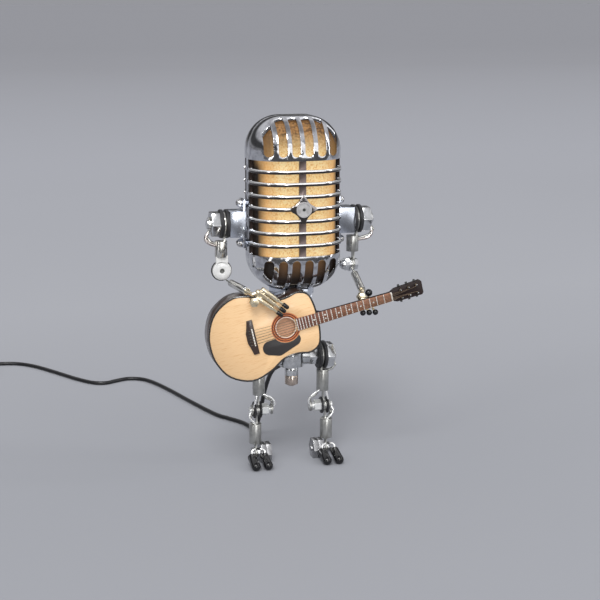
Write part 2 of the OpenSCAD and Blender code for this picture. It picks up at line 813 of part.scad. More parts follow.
left_eye_x = left_arm_x + 0.4;
fore_eye_x = left_eye_x - eye_t - side_gap;
cap_x = fore_eye_x - eye_t / 2 - side_gap - small_washer_t;
hand_y = -24;
left_start = [fore_eye_x, -3, elbow_z - 4.8];
left_end = [fore_eye_x, -19, elbow_z - 12.4];
left_dir = (left_end - left_start) / norm(left_end - left_start);
hand_wire_r = 1.1;
left_wrist = [fore_eye_x - 1.6, hand_y + 1, elbow_z - 15.8];
finger_x = [37, 41, 45];
finger_z = elbow_z - 24.4;
finger_y = -29;
ball_r = 1.8;
thumb = [41.8, -25.2, elbow_z - 12.8];
thumb_r = 2.3;

module left_upper_arm() {
    color("silver") side(1) {
        arm_body(left_arm_x);
        flat_eye(left_eye_x, small_eye_r + 0.6, small_r, shoulder_y, elbow_z, arm_low + 1, 3.4);
    }
}

module left_elbow_bolt() {
    color("gainsboro") side(1) {
        disc_x(cap_x - 3, left_eye_x + eye_t / 2 + 2.4, small_r, shoulder_y, elbow_z);
        hex_x(left_eye_x + eye_t / 2, left_eye_x + eye_t / 2 + 2, 6.6, shoulder_y, elbow_z);
        disc_x(cap_x, cap_x + small_washer_t, 4.6, shoulder_y, elbow_z);
        hex_x(cap_x - 2.6, cap_x, 7.4, shoulder_y, elbow_z);
        intersection() {
            disc_x(cap_x - 6, cap_x - 2.6, 3.4, shoulder_y, elbow_z);
            translate([cap_x - 2.6, shoulder_y, elbow_z]) sphere(r = 3.4);
        }
    }
}

module left_forearm() {
    color("silver") side(1) {
        difference() {
            union() {
                disc_x(fore_eye_x - eye_t / 2, fore_eye_x + eye_t / 2, small_eye_r + 0.6, shoulder_y, elbow_z);
                rod([fore_eye_x, shoulder_y - 3.2, elbow_z - 2.2], left_start, 0.6);
            }
            disc_x(fore_eye_x - 3, fore_eye_x + 3, small_r + run, shoulder_y, elbow_z);
        }
        difference() {
            rod(left_start, left_end, forearm_r);
            rod(left_end - 4 * left_dir, left_end + left_dir, hand_wire_r + 0.05);
        }
    }
}

module left_hand() {
    color("gainsboro") side(1) {
        wire([left_end - 2.5 * left_dir, left_end + 0.8 * left_dir, left_wrist,
            [finger_x[1], hand_y, left_wrist[2] - 1]], r = hand_wire_r);
        translate(left_wrist) rotate([90, 0, 0]) translate([0, 0, -1.4]) cylinder(r = 3, h = 2.8, $fn = 6);
        wire([[finger_x[1], hand_y, left_wrist[2] - 1], [thumb[0], hand_y, thumb[2] - 3.4], thumb], r = 0.8);
        for (x = finger_x) wire([[left_wrist[0] + 0.6 * (x - left_wrist[0]), hand_y, left_wrist[2] - 1],
            [x, hand_y, finger_z + 1.4], [x, finger_y, finger_z]], r = 0.8);
        rod([finger_x[0], hand_y, left_wrist[2] - 1], [left_wrist[0] + 5.2, hand_y, left_wrist[2] - 1], 1.4);
    }
}

module left_fingertips() {
    color("black") side(1) difference() {
        union() {
            for (x = finger_x) translate([x, finger_y, finger_z]) sphere(r = ball_r);
            translate(thumb) sphere(r = thumb_r);
        }
        for (x = finger_x) rod([x, hand_y, finger_z + 1.4], [x, finger_y, finger_z], 0.84);
        rod([thumb[0], hand_y, thumb[2] - 3.4], thumb, 0.84);
    }
}

// ---------- Guitar: u runs along the neck, v up across it, y back into the body ----------

guitar_x = -12.3;
guitar_y = -31;
guitar_z = hip_z + 27.6;
board_start = hole_r + 0.8;
board_t = 1;
neck_t = 3.5;
// Half of the body's outline from the tail to the neck
body_half = [[-48, 0], [-46.5, 10], [-40.2, 20.6], [-27.6, 26.8], [-15, 24.2], [-5, 18.8], [4, 18.2],
    [11.5, 19.6], [18, 16.4], [20.4, 8], [20.6, 0]];
body_loop = concat(body_half, [for (i = [len(body_half) - 2:-1:1]) [body_half[i][0], -body_half[i][1]]]);
steps = 4;

function curve(p, i, t) =
    let (n = len(p), a = p[(i + n - 1) % n], b = p[i], c = p[(i + 1) % n], d = p[(i + 2) % n])
    0.5 * (2 * b + (c - a) * t + (2 * a - 5 * b + 4 * c - d) * t * t + (3 * b - a - 3 * c + d) * t * t * t);

outline = [for (i = [0:len(body_loop) - 1], k = [0:steps - 1]) curve(body_loop, i, k / steps)];

// The body's outline moved inwards by d
function inset_outline(d) = [for (i = [0:len(outline) - 1])
    let (n = len(outline), t = outline[(i + 1) % n] - outline[(i + n - 1) % n], l = norm(t))
    outline[i] + d * [t[1], -t[0]] / l];

module at_guitar() {
    at_robot() translate([guitar_x, guitar_y, guitar_z]) rotate([0, -neck_rise, 0]) children();
}

// Plate of a 2D shape in u, v from depth y0 back to y1
module plate(y0, y1) {
    translate([0, y1, 0]) rotate([90, 0, 0]) linear_extrude(y1 - y0) children();
}

function board_half(u) = (board_w + (nut_w - board_w) * (u - board_start) / (neck_reach - board_start)) / 2;

module board_outline(u0, u1, extra = 0) {
    polygon([[u0, -board_half(u0) - extra], [u1, -board_half(u1) - extra],
        [u1, board_half(u1) + extra], [u0, board_half(u0) + extra]]);
}

module guitar_body() {
    color("black") difference() {
        at_guitar() difference() {
            plate(top_t, guitar_t) polygon(inset_outline(0));
            plate(top_t - 1, guitar_t - rim_t) polygon(inset_outline(rim_t));
        }
        at_robot() disc_y(guitar_y + guitar_t - rim_t - 2, guitar_y + guitar_t + 1, 1.5, 0, stud_z);
    }
}

module guitar_top() {
    color("burlywood") at_guitar() difference() {
        plate(0, top_t) polygon(inset_outline(binding_w));
        plate(-1, top_t + 1) circle(r = hole_r);
    }
}

module guitar_binding() {
    color("black") at_guitar() difference() {
        plate(-0.12, top_t) difference() {
            polygon(inset_outline(-0.12));
            polygon(inset_outline(binding_w));
        }
        plate(-1, 0) board_outline(board_start, neck_reach);
    }
}

module guitar_neck() {
    heel_u = body_half[len(body_half) - 1][0] + 0.2;
    color("saddlebrown") at_guitar() {
        intersection() {
            plate(0, neck_t) board_outline(heel_u, neck_reach);
            translate([0, neck_t - 4.2, 0]) rotate([0, 90, 0]) cylinder(r = 4.2, h = neck_reach + 2);
        }
        translate([0, 0, -2.4]) linear_extrude(4.8)
            polygon([[heel_u, 0], [heel_u + 6, 1], [heel_u + 4.6, 3.4], [heel_u + 2, 9], [heel_u, guitar_t - 1.6]]);
        translate([neck_reach, 0, 0]) rotate([0, 0, 6]) plate(0, 2.6)
            polygon([[0, -nut_w / 2], [3.4, -4.2], [20.6, -4.7], [21.6, -3.6], [21.6, 3.6], [20.6, 4.7],
                [3.4, 4.2], [0, nut_w / 2]]);
    }
}

module fretboard() {
    color("sienna") at_guitar() plate(-board_t, 0) board_outline(board_start, neck_reach - 0.5);
}

module frets() {
    scale_len = neck_reach + saddle_back;
    color("silver") at_guitar() for (n = [1:fret_count]) {
        u = neck_reach - scale_len * (1 - pow(2, -n / 12));
        translate([u - 0.2, -board_t - 0.28, -board_half(u)]) cube([0.4, 0.28, 2 * board_half(u)]);
    }
}

module guitar_bridge() {
    u = -saddle_back;
    color("saddlebrown") at_guitar() plate(-1.1, 0)
        polygon([[u + 1.6, -10.8], [u + 1.6, 10.8], [u - 1.8, 10.8], [u - 3, 6], [u - 4, 3], [u - 4, -3],
            [u - 3, -6], [u - 1.8, -10.8]]);
}

module nut_and_saddle() {
    color("ivory") at_guitar() {
        translate([neck_reach - 0.5, -board_t - 0.5, -nut_w / 2]) cube([0.9, board_t + 0.5, nut_w]);
        translate([-saddle_back - 0.35, -1.8, -5.4]) cube([0.7, 0.7, 10.8]);
    }
}

module rosette() {
    color("chocolate") at_guitar() plate(-0.12, 0) difference() {
        circle(r = hole_r + 3.2);
        circle(r = hole_r + 0.5);
        board_outline(board_start - 4, board_start + 6, 0.02);
    }
}

module pickguard() {
    color("black") at_guitar() plate(-0.35, 0) difference() {
        hull() {
            translate([-12.5, -9.6]) circle(r = 4.4, $fn = 32);
            translate([-7, -11.6]) circle(r = 4.4, $fn = 32);
            translate([3.4, -8.6]) circle(r = 4, $fn = 32);
        }
        circle(r = hole_r + 3.4);
    }
}

module tuners() {
    color("gainsboro") at_guitar() translate([neck_reach, 0, 0]) rotate([0, 0, 6])
        for (s = [-1, 1], k = [0:2]) translate([6.6 + 5.4 * k, 0, 0]) {
            translate([0, 0, 2.5 * s]) disc_y(-1.6, -0.01, 0.7, 0, 0);
            translate([0, 1.4, 0]) rod([0, 0, s * (4.46 + 0.04 * k * 3)], [0, 0, s * 6.4], 0.5);
            translate([0, 1.4, s * 7.2]) rotate([0, 90, 0]) cylinder(r = 1.4, h = 1.3, center = true);
        }
}

stud_r = 3;
stud_z = guitar_z + 2;

module guitar_stud() {
    back = guitar_y + guitar_t;
    color("silver") at_robot() {
        disc_y(back, arm_y - rod_d / 2 - 0.2, stud_r, 0, stud_z);
        disc_y(back, back + 1.6, 6.5, 0, stud_z);
        disc_y(back - rim_t - 1.4, back, 1.5, 0, stud_z);
        disc_y(back - rim_t - 1.4, back - rim_t, 2.8, 0, stud_z);
    }
}

// ---------- Cord ----------

cord_r = cord_d / 2;
gland_at = [-2.5, 8, hip_z - 3];
gland_dir = [-0.2, 0.85, -0.487];
gland_in = 2.8;
gland_len = 15;

module gland_hole() {
    rod(gland_at - gland_dir * gland_in, gland_at + gland_dir * 6, 2.45);
}

module cord_gland() {
    color("black") at_robot() {
        translate(gland_at) rotate([0, acos(gland_dir[2] / norm(gland_dir)), atan2(gland_dir[1], gland_dir[0])])
            rotate_extrude() polygon([[0, 0], [2.4, 0], [2.4, gland_in], [cord_r + 0.3, gland_in + gland_len],
                [0, gland_in + gland_len]]);
    }
}

// Points along the free cord, from the gland over the floor to the coil
route = [gland_at + gland_dir * (gland_in + gland_len + 0.3), [-7.5, 31, 49], [-8.6, 40, 37], [-9, 49, 23],
    [-9.2, 58, 10], [-9.4, 67, 2.8], [-10.5, 76, 1.4], [-14, 87, 1.4], [-21, 99, 1.4], [-28, 112, 1.4],
    [-38.6, 147, 1.4], [-49, 185, 1.4], [-57, 208, 1.4], [-64, 219, 1.4], [-74, 223, 1.4], [-84, 219, 1.4],
    [-92, 215, 1.4], [-101, 218, 1.4], [-112, 232, 1.4], [-127, 258, 1.4], [-140, 279, 1.4], [-152, 291, 1.4],
    [-165, 295, 1.5], [-177, 292.6, 1.8], [-186, 289.6, 2.2]];
coil_at = [-195, 272];
coil_r = 16;
coil_half = 4.4;
coil_low = 0.6;
coil_h = 8.8;
cord_sides = 8;
cord_steps = 3;

// Smooth open curve through the points p
function pass(p, i, t) =
    let (a = p[max(i - 1, 0)], b = p[i], c = p[i + 1], d = p[min(i + 2, len(p) - 1)])
    0.5 * (2 * b + (c - a) * t + (2 * a - 5 * b + 4 * c - d) * t * t + (3 * b - a - 3 * c + d) * t * t * t);
function above_floor(p) = [p[0], p[1], max(p[2], cord_r)];
function smooth(p, n) = concat([for (i = [0:len(p) - 2], k = [0:n - 1]) above_floor(pass(p, i, k / n))],
    [p[len(p) - 1]]);

// Tube of radius r along the points c
module tube(c, r, sides) {
    n = len(c);
    rings = [for (i = [0:n - 1])
        let (v = c[min(i + 1, n - 1)] - c[max(i - 1, 0)], t = v / norm(v),
            a = cross(t, [0.1, 0.05, 1]), s = a / norm(a), b = cross(t, s))
        for (k = [0:sides - 1]) c[i] + r * (cos(360 * k / sides) * s + sin(360 * k / sides) * b)];
    faces = concat([[for (k = [0:sides - 1]) k]], [[for (k = [sides - 1:-1:0]) (n - 1) * sides + k]],
        [for (i = [0:n - 2], k = [0:sides - 1]) let (l = (k + 1) % sides)
            [i * sides + k, (i + 1) * sides + k, (i + 1) * sides + l, i * sides + l]]);
    polyhedron(rings, faces);
}

module cord_lead() {
    color("black") at_robot() tube(smooth(route, cord_steps), cord_r, cord_sides);
}

module cord_coil() {
    color("black") at_robot() translate([coil_at[0], coil_at[1], coil_low]) rotate_extrude()
        translate([coil_r - coil_half, 0]) square([2 * coil_half, coil_h]);
}

module cord_tie() {
    t = 0.6;
    color("dimgray") at_robot() translate([coil_at[0], coil_at[1], 0]) rotate([0, 0, 200]) difference() {
        translate([coil_r - coil_half - t, -2, 0]) cube([2 * (coil_half + t), 4, coil_h + 2 * t]);
        translate([0, 0, coil_low]) rotate_extrude() translate([coil_r - coil_half, 0])
            square([2 * coil_half, coil_h]);
    }
}

tail = 8.6;
plug_w = 13;

module cord_plug() {
    color("black") at_robot() translate([coil_at[0] - coil_r, coil_at[1] - 12, 0]) {
        translate([0, -tail - 7, 3.2]) rotate([-90, 0, 0]) rotate_extrude()
            polygon([[0, -1], [2.4, -1], [2.4, 0], [cord_r + 0.2, 7], [cord_r, 7], [cord_r, 7 + tail], [0, 7 + tail]]);
        translate([-plug_w / 2, -tail - 29, 0]) cube([plug_w, 22, 6.4]);
        translate([-6, -tail - 40, 1]) difference() {
            cube([12, 12, 4.5]);
            translate([0.4, -1, 2.2]) cube([11.2, 11, 1.9]);
        }
    }
}

head_front_shell();
head_rear_shell();
grille_liner();
boss_screw();
lamp_holder();
lamp_bulb();
body_rod();
neck_collar();
body_sleeve();
pelvis_tube();
switch_washer();
switch_barrel();
dimmer_knob();
shoulder_brackets();
bracket_screws();
shoulder_bolts();
shoulder_washers();
hip_bolts();
hip_washers();
guitar_body();
guitar_top();
guitar_binding();
guitar_neck();
fretboard();
frets();
guitar_bridge();
nut_and_saddle();
rosette();
pickguard();
tuners();
guitar_stud();
right_upper_arm();
right_elbow_screw();
right_forearm();
right_hand();
right_fingertips();
left_upper_arm();
left_elbow_bolt();
left_forearm();
left_hand();
left_fingertips();
right_thigh();
right_knee_bolt();
right_knee_washers();
right_shin();
right_foot();
right_toe_caps();
left_thigh();
left_knee_bolt();
left_knee_washers();
left_shin();
left_foot();
left_toe_caps();
cord_gland();
cord_lead();
cord_coil();
cord_tie();
cord_plug();
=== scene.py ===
"""The visual model of a robot desk lamp: its finishes, small fittings, cord, floor and light."""
import json
from math import cos, pi, radians, sin

import bmesh
import bpy
from mathutils import Matrix, Vector


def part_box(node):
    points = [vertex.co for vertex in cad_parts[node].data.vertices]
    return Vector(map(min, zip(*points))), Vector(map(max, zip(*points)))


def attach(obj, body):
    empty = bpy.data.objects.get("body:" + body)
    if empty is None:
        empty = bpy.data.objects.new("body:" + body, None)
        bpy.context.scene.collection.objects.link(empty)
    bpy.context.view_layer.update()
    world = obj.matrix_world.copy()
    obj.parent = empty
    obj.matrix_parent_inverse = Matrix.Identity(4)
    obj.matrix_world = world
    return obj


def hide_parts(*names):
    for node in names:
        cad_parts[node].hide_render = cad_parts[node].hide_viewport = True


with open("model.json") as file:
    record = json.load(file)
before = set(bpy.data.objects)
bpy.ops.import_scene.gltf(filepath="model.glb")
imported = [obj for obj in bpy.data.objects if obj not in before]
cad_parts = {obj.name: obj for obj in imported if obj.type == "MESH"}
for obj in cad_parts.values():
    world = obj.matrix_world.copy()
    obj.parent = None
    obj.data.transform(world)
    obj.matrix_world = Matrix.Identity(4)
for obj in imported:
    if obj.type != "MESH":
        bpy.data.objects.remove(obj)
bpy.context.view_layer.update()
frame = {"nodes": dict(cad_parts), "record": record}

# Lengths are in mm, from the robot's upright axis and the floor, where nothing else is said.
MM = 0.001
UPRIGHT = Vector((-8.06, 6.55, 0.0))  # where that axis stands in the model
GRILLE_Z = 137.35  # foot of the lowest band of openings in the head
BAND_PITCH, BANDS = 7.45, 8
BAR_FOOT, BAR_MIDDLE = 5.35, 6.6  # how far a bar lies above the foot of its band
BOSS_Z = GRILLE_Z + 28.95
SHOULDER_Y, SHOULDER_Z, ELBOW_Z, KNEE_Y, KNEE_Z = 5, 154.8, 125.8, 5, 34.5
RISE, LEAN = radians(13), radians(6)  # the slope of the guitar's neck, and of its headstock to the rear
X_AXIS, Y_AXIS = Vector((1, 0, 0)), Vector((0, 1, 0))


def at(x, y, z):
    """A point given in mm from the robot's upright axis, in the model's metres."""
    return (Vector((x, y, z)) + UPRIGHT) * MM


# ---------- camera ----------

def place_camera():
    bpy.context.scene.view_settings.view_transform = "Standard"
    eye, aim = at(-220.00, -838.89, 289.88), at(-4.81, -35.80, 113.16)
    lens = bpy.data.cameras.new("studio_camera")
    lens.lens, lens.sensor_width = 85, 36
    camera = bpy.data.objects.new("studio_camera", lens)
    camera.location = eye
    camera.rotation_euler = (aim - eye).to_track_quat("-Z", "Y").to_euler()
    bpy.context.collection.objects.link(camera)
    bpy.context.scene.camera = camera


place_camera()


# ---------- shader building ----------

def srgb(red, green, blue):
    """The linear colour of a screen colour given as 0 to 255."""
    shares = (level / 255 for level in (red, green, blue))
    return tuple(c / 12.92 if c <= 0.04 else ((c + 0.055) / 1.055) ** 2.4 for c in shares)


class Val:
    """One output socket of a node tree. Sums, products and comparisons add Math nodes."""

    def __init__(self, tree, socket):
        self.tree, self.socket = tree, socket

    def __add__(self, other):
        return self.tree.maths("ADD", self, other)

    __radd__ = __add__

    def __sub__(self, other):
        return self.tree.maths("SUBTRACT", self, other)

    def __rsub__(self, other):
        return self.tree.maths("SUBTRACT", other, self)

    def __mul__(self, other):
        return self.tree.maths("MULTIPLY", self, other)

    __rmul__ = __mul__

    def __lt__(self, other):
        return self.tree.maths("LESS_THAN", self, other)

    def __gt__(self, other):
        return self.tree.maths("GREATER_THAN", self, other)


def within(value, low, high):
    """1 where a value lies between two limits, and 0 elsewhere."""
    return (value > low) * (value < high)


class Tree:
    """The node tree of a material or of the world, with short ways to add its nodes."""

    def __init__(self, owner):
        owner.use_nodes = True
        self.nodes, self.links = owner.node_tree.nodes, owner.node_tree.links

    def put(self, socket, value):
        """Links a Val to a socket, or sets a plain number or colour there."""
        if isinstance(value, Val):
            self.links.new(value.socket, socket)
        elif isinstance(value, (tuple, list)) and len(value) == 3 and socket.type == "RGBA":
            socket.default_value = (*value, 1)
        else:
            socket.default_value = value

    def node(self, kind, settings=None, values=(), out=0):
        """Adds a node: its settings first, then the values or links of its sockets by order or name."""
        new = self.nodes.new(kind)
        for name, value in (settings or {}).items():
            setattr(new, name, value)
        named = values if isinstance(values, dict) else dict(enumerate(values))
        for name, value in named.items():
            self.put(new.inputs[name], value)
        return Val(self, new.outputs[out])

    def maths(self, operation, *values):
        return self.node("ShaderNodeMath", {"operation": operation}, values)

    def ramp(self, value, *stops):
        """A colour ramp through stops, each a place from 0 to 1 and a colour."""
        new = self.nodes.new("ShaderNodeValToRGB")
        while len(new.color_ramp.elements) < len(stops):
            new.color_ramp.elements.new(1)
        for stop, (where, colour) in zip(new.color_ramp.elements, stops):
            stop.position, stop.color = where, (*colour, 1)
        self.put(new.inputs[0], value)
        return Val(self, new.outputs[0])


class Finish(Tree):
    """A material whose shader takes plain numbers in its own sockets and Val links where they vary."""

    def __init__(self, name, **sockets):
        self.material = bpy.data.materials.new(name)
        super().__init__(self.material)
        self.shader = next(n for n in self.nodes if n.type == "BSDF_PRINCIPLED")
        self.place = Val(self, self.nodes.new("ShaderNodeTexCoord").outputs["Object"])
        self.feed(**sockets)

    def feed(self, **sockets):
        for name, value in sockets.items():
            self.put(self.shader.inputs[name.replace("_", " ")], value)

    def axis(self, name):
        """The x, y or z of a point on the piece, in the model's mm."""
        return self.node("ShaderNodeSeparateXYZ", None, [self.place], name.upper()) * (1 / MM)

    def from_upright(self):
        """The x, y and z of a point on the piece, in mm from the robot's upright axis."""
        return tuple(self.axis(name) - offset for name, offset in zip("xyz", UPRIGHT))

    def noise(self, scale, detail, rough, place=None):
        return self.node("ShaderNodeTexNoise", None, {
            "Vector": place or self.place, "Scale": scale, "Detail": detail, "Roughness": rough})

    def stretched(self, x, y, z):
        """The place with its axes scaled, for grain and brushed lines."""
        return self.node("ShaderNodeMapping", None, {"Vector": self.place, "Scale": (x, y, z)})

    def mix(self, amount, low, high):
        return self.node("ShaderNodeMix", {"data_type": "RGBA"}, {0: amount, 6: low, 7: high}, 2)

    def clip(self, value, low, high):
        """A value brought from the range low to high into 0 to 1, and held there."""
        return self.node("ShaderNodeMapRange", None, [value, low, high])

    def bump(self, height, strength, depth):
        self.feed(Normal=self.node("ShaderNodeBump", None,
                                   {"Strength": strength, "Distance": depth * MM, "Height": height}))


# ---------- kinds of finish ----------

def cold_metal(name, bright, dull, rough, wear):
    """Plated or bare metal with faint clouding, hairline scratches and a slightly uneven skin."""
    f = Finish(name, Metallic=1.0, IOR=2.2)
    cloud, specks = f.noise(260, 4, 0.6), f.noise(1900, 2, 0.6)
    hair = f.noise(700, 2, 0.5, f.stretched(0.25, 1, 5))
    marks = f.clip(hair * 0.6 + specks * 0.4, 0.52, 0.66)
    f.feed(Base_Color=f.mix(f.clip(cloud * (0.7 + 0.3 * specks), 0.30, 0.62), dull, bright),
           Roughness=rough + wear * (0.10 * marks + 0.14 * f.clip(cloud, 0.62, 0.42)))
    f.bump(cloud * 0.6 + hair * 0.4, 0.25 * wear, 0.06)
    return f.material


def satin_plate(name, bright, dull, metal, rough):
    """Tin or zinc plate: part mirror, part pale matt skin, faintly clouded."""
    f = Finish(name, Metallic=metal, IOR=1.9)
    cloud, fine = f.noise(300, 3, 0.6), f.noise(1500, 2, 0.5)
    f.feed(Base_Color=f.mix(f.clip(cloud, 0.35, 0.60), dull, bright), Roughness=rough + 0.10 * cloud * fine)
    f.bump(fine * 0.5 + cloud * 0.5, 0.10, 0.06)
    return f.material


def black_rubber(name, tone=(0.016, 0.016, 0.018), rough=0.42, wear=1.0):
    """Moulded rubber or vinyl with a fine matt skin and rubbed patches."""
    f = Finish(name, IOR=1.5, Specular_IOR_Level=0.5)
    skin, rubbed = f.noise(2600, 3, 0.6), f.noise(190, 3, 0.5)
    worn = f.clip(rubbed, 0.45, 0.70)
    f.feed(Base_Color=f.mix(worn, tone, tuple(c * (1 + 1.1 * wear) + 0.006 * wear for c in tone)),
           Roughness=rough + wear * (0.16 * worn + 0.10 * skin))
    f.bump(skin, 0.25 * wear, 0.08)
    return f.material


def smooth_plastic(name, low, high, rough=0.3, coat=0.0, speck=900):
    """Moulded or lacquered surface with a little mottling and rubbed roughness."""
    f = Finish(name, IOR=1.5, Coat_Weight=coat, Coat_Roughness=0.08)
    mottle, fine = f.noise(220, 3, 0.5), f.noise(speck, 3, 0.6)
    f.feed(Base_Color=f.mix(mottle * 0.7 + fine * 0.3, low, high), Roughness=rough + 0.14 * fine * mottle)
    f.bump(fine, 0.12, 0.05)
    return f.material


def long_grain(name, pale, dark, spacing, coat, rough=0.30, ior=1.5):
    """Varnished timber: growth lines along the guitar at a spacing in mm, colour drift and pores."""
    f = Finish(name, IOR=ior, Coat_Weight=coat, Coat_Roughness=0.12)
    turned = f.node("ShaderNodeMapping", None, {"Vector": f.place, "Rotation": (0, RISE, 0)})
    along = f.node("ShaderNodeMapping", None, {"Vector": turned, "Scale": (0.06, 1, 1)})
    wander, drift = f.noise(160, 3, 0.6, along), f.noise(70, 2, 0.5, along)
    across = f.node("ShaderNodeSeparateXYZ", None, [turned], "Z")
    rings = f.clip(f.maths("SINE", (across + 1.2 * MM * wander) * (2 * pi / (spacing * MM))), -0.6, 1.0)
    pores = f.clip(f.noise(2400, 2, 0.6, along), 0.56, 0.68)
    mid = tuple(0.65 * p + 0.35 * d for p, d in zip(pale, dark))
    wood = f.mix(rings * (0.35 + 0.65 * wander), f.mix(drift, pale, mid), mid)
    f.feed(Base_Color=f.mix(pores * 0.5, wood, dark), Roughness=rough + 0.12 * wander)
    f.bump(rings * 0.5 + pores, 0.18, 0.08)
    return f.material


def gold_mesh():
    """Woven gold cloth of slanted wires that glows as if lit from behind, which is painted light; painted
    shade makes it browner at the head's sides, at its top and in its slots.
    """
    # Painted light: the cloth glows in its own colour, standing in for the light of the bulb behind it,
    # which gives none.
    f = Finish("gold_mesh", IOR=1.5, Emission_Strength=0.76)
    x, y, z = f.from_upright()
    head_radius, wire_pitch = 24, 1.1
    around = f.maths("ARCTAN2", y, x) * head_radius
    rise, fall = (f.maths("SINE", slant * (2 * pi / wire_pitch)) for slant in (around + z, around - z))
    wires = f.clip(rise * rise + fall * fall, 0.15, 1.5)
    grain = f.noise(1500, 3, 0.7)
    glow = f.clip(f.noise(90, 2, 0.5) * 0.35 + 0.65 * f.noise(620, 2, 0.6), 0.38, 0.60)
    lit = f.mix(glow, srgb(246, 214, 148), srgb(255, 246, 200))
    cloth = f.mix(wires * (0.5 + 0.5 * grain), srgb(222, 182, 122), lit)
    sand = f.clip(f.noise(1100, 2, 0.7), 0.50, 0.62)
    cloth = f.mix(sand * 0.75, cloth, srgb(204, 146, 78))
    # Painted shade: browner toward the head's sides, where the cloth turns away from the light.
    flank_shade = f.clip(x * x, 160, 420)
    cloth = f.mix(flank_shade * 0.6, cloth, srgb(206, 146, 80))
    # Painted shade: dark brown at the top of the head.
    crown_shade = f.clip(z, 198, 212)
    cloth = f.mix(crown_shade, cloth, f.mix(glow, srgb(76, 54, 32), srgb(168, 124, 76)))
    # Painted shade: darker still in the outer slots at the top.
    outer_slot_shade = f.clip(x * x, 220, 340) * f.clip(z, 196, 198)
    cloth = f.mix(outer_slot_shade * 0.7, cloth, srgb(84, 60, 34))
    # Painted shade: the cloth keeps its colour only at the front and rear; at the head's sides and in the
    # lowest slots it is painted dark brown to near black, as the inside seen in shadow.
    bands = f.clip(y * y, 110, 290) * f.clip(z, 133.5, 137.4)
    top_slots = f.clip(z, 190, 200) * f.clip(y * y, 16, 144)
    slot_shade = f.mix(f.clip(z, 122, 134.5) * f.clip(x * x, 300, 120), srgb(26, 19, 15), srgb(100, 72, 46))
    colour = f.mix(bands + top_slots * (1 - bands), slot_shade, cloth)
    # The base colour is darkened so that the painted glow, more than the lamps, gives the cloth its colour.
    f.feed(Base_Color=f.mix(0.55, colour, (0, 0, 0)), Emission_Color=colour, Roughness=0.45 + 0.25 * grain)
    f.bump(wires * 0.6 + grain * 0.7, 0.9, 0.35)
    return f.material


def shell_chrome():
    """The head's plating: brownish on the rib, dull on the boss, and painted shade beside the ends of the
    bands, as dark as the inside of an opening.
    """
    f = Finish("head_chrome", Metallic=1.0, IOR=2.2)
    x, y, z = f.from_upright()
    cloud, hair = f.noise(260, 4, 0.6), f.noise(700, 2, 0.5, f.stretched(0.25, 1, 5))
    boss = within(x, -10, 10) * within(y, -26.9, -25.6)
    rib = within(x, -2.15, 2.15) * within(y, -24.75, -18) * within(z, 137, 195)
    up = z - GRILLE_Z
    # Painted shade: the band openings stop short of the side strips, so the strips are painted near black
    # between the bars, as if the openings ran on into the dark inside.
    painted_opening_rows = within(f.maths("MODULO", up, BAND_PITCH), 0.3, 5.45) * within(up, 0, 57.9)
    side = painted_opening_rows * within(y * y, 6.8, 39.7)
    skin = f.mix(f.clip(cloud, 0.34, 0.60), (0.42, 0.42, 0.45), (0.66, 0.67, 0.70))
    skin = f.mix(boss, skin, (0.30, 0.28, 0.28))
    skin = f.mix(rib, skin, f.mix(cloud, (0.130, 0.100, 0.095), (0.220, 0.175, 0.165)))
    # Painted shade on the side strips between the bars.
    skin = f.mix(side, skin, (0.030, 0.022, 0.020))
    haze, scratches = f.clip(cloud, 0.62, 0.42), f.clip(hair, 0.55, 0.66)
    f.feed(Base_Color=skin,
           Roughness=0.07 + 0.06 * haze + 0.05 * scratches + 0.25 * rib + 0.35 * side)
    f.bump(cloud * 0.6 + hair * 0.4, 0.12, 0.06)
    return f.material


def bar_chrome():
    """The round bars: polished chrome above, and painted shade on their undersides."""
    f = Finish("bar_chrome", Metallic=0.8, IOR=2.0)
    above_foot = f.maths("MODULO", f.axis("z") - (GRILLE_Z + BAR_FOOT), BAND_PITCH)
    cloud = f.noise(300, 3, 0.6)
    polish = f.mix(cloud, (0.92, 0.92, 0.93), (1.0, 1.0, 1.0))
    # Painted shade: the lower half of each bar is painted near black, the upper half left bright.
    f.feed(Base_Color=f.mix(f.clip(above_foot + 0.2 * cloud, 1.40, 1.65), (0.07, 0.06, 0.06), polish),
           Roughness=0.14 + 0.08 * cloud)
    f.bump(cloud, 0.10, 0.05)
    return f.material


def plug_finish():
    """The plug's rubber body, with its plated tongue in front."""
    f = Finish("plug_rubber", IOR=1.5)
    tongue_length, front = 11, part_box("cord_plug")[0][1] / MM
    skin = f.noise(2600, 3, 0.6)
    tongue = f.axis("y") < front + tongue_length
    rubber = f.mix(skin, (0.014, 0.014, 0.016), (0.032, 0.032, 0.034))
    f.feed(Base_Color=f.mix(tongue, rubber, (0.70, 0.70, 0.71)), Metallic=tongue,
           Roughness=0.22 + 0.25 * (1 - tongue) + 0.08 * skin)
    f.bump(skin, 0.2, 0.06)
    return f.material


def board_wood():
    """The fretboard's rosewood: darker by the sound hole, browner toward the nut, with long pores."""
    f = Finish("fretboard_wood", IOR=1.5, Coat_Weight=0.1)
    along = f.stretched(0.08, 1, 1)
    grain, pores = f.noise(520, 4, 0.6, along), f.clip(f.noise(2100, 2, 0.6, along), 0.55, 0.68)
    by_hole = f.mix(grain, srgb(96, 52, 46), srgb(136, 76, 62))
    by_nut = f.mix(grain, srgb(120, 74, 50), srgb(178, 120, 86))
    wood = f.mix(f.clip(f.axis("x"), -14, 30), by_hole, by_nut)
    f.feed(Base_Color=f.mix(pores * 0.6, wood, srgb(62, 34, 28)), Roughness=0.40 + 0.14 * grain)
    f.bump(grain * 0.5 + pores, 0.2, 0.06)
    return f.material


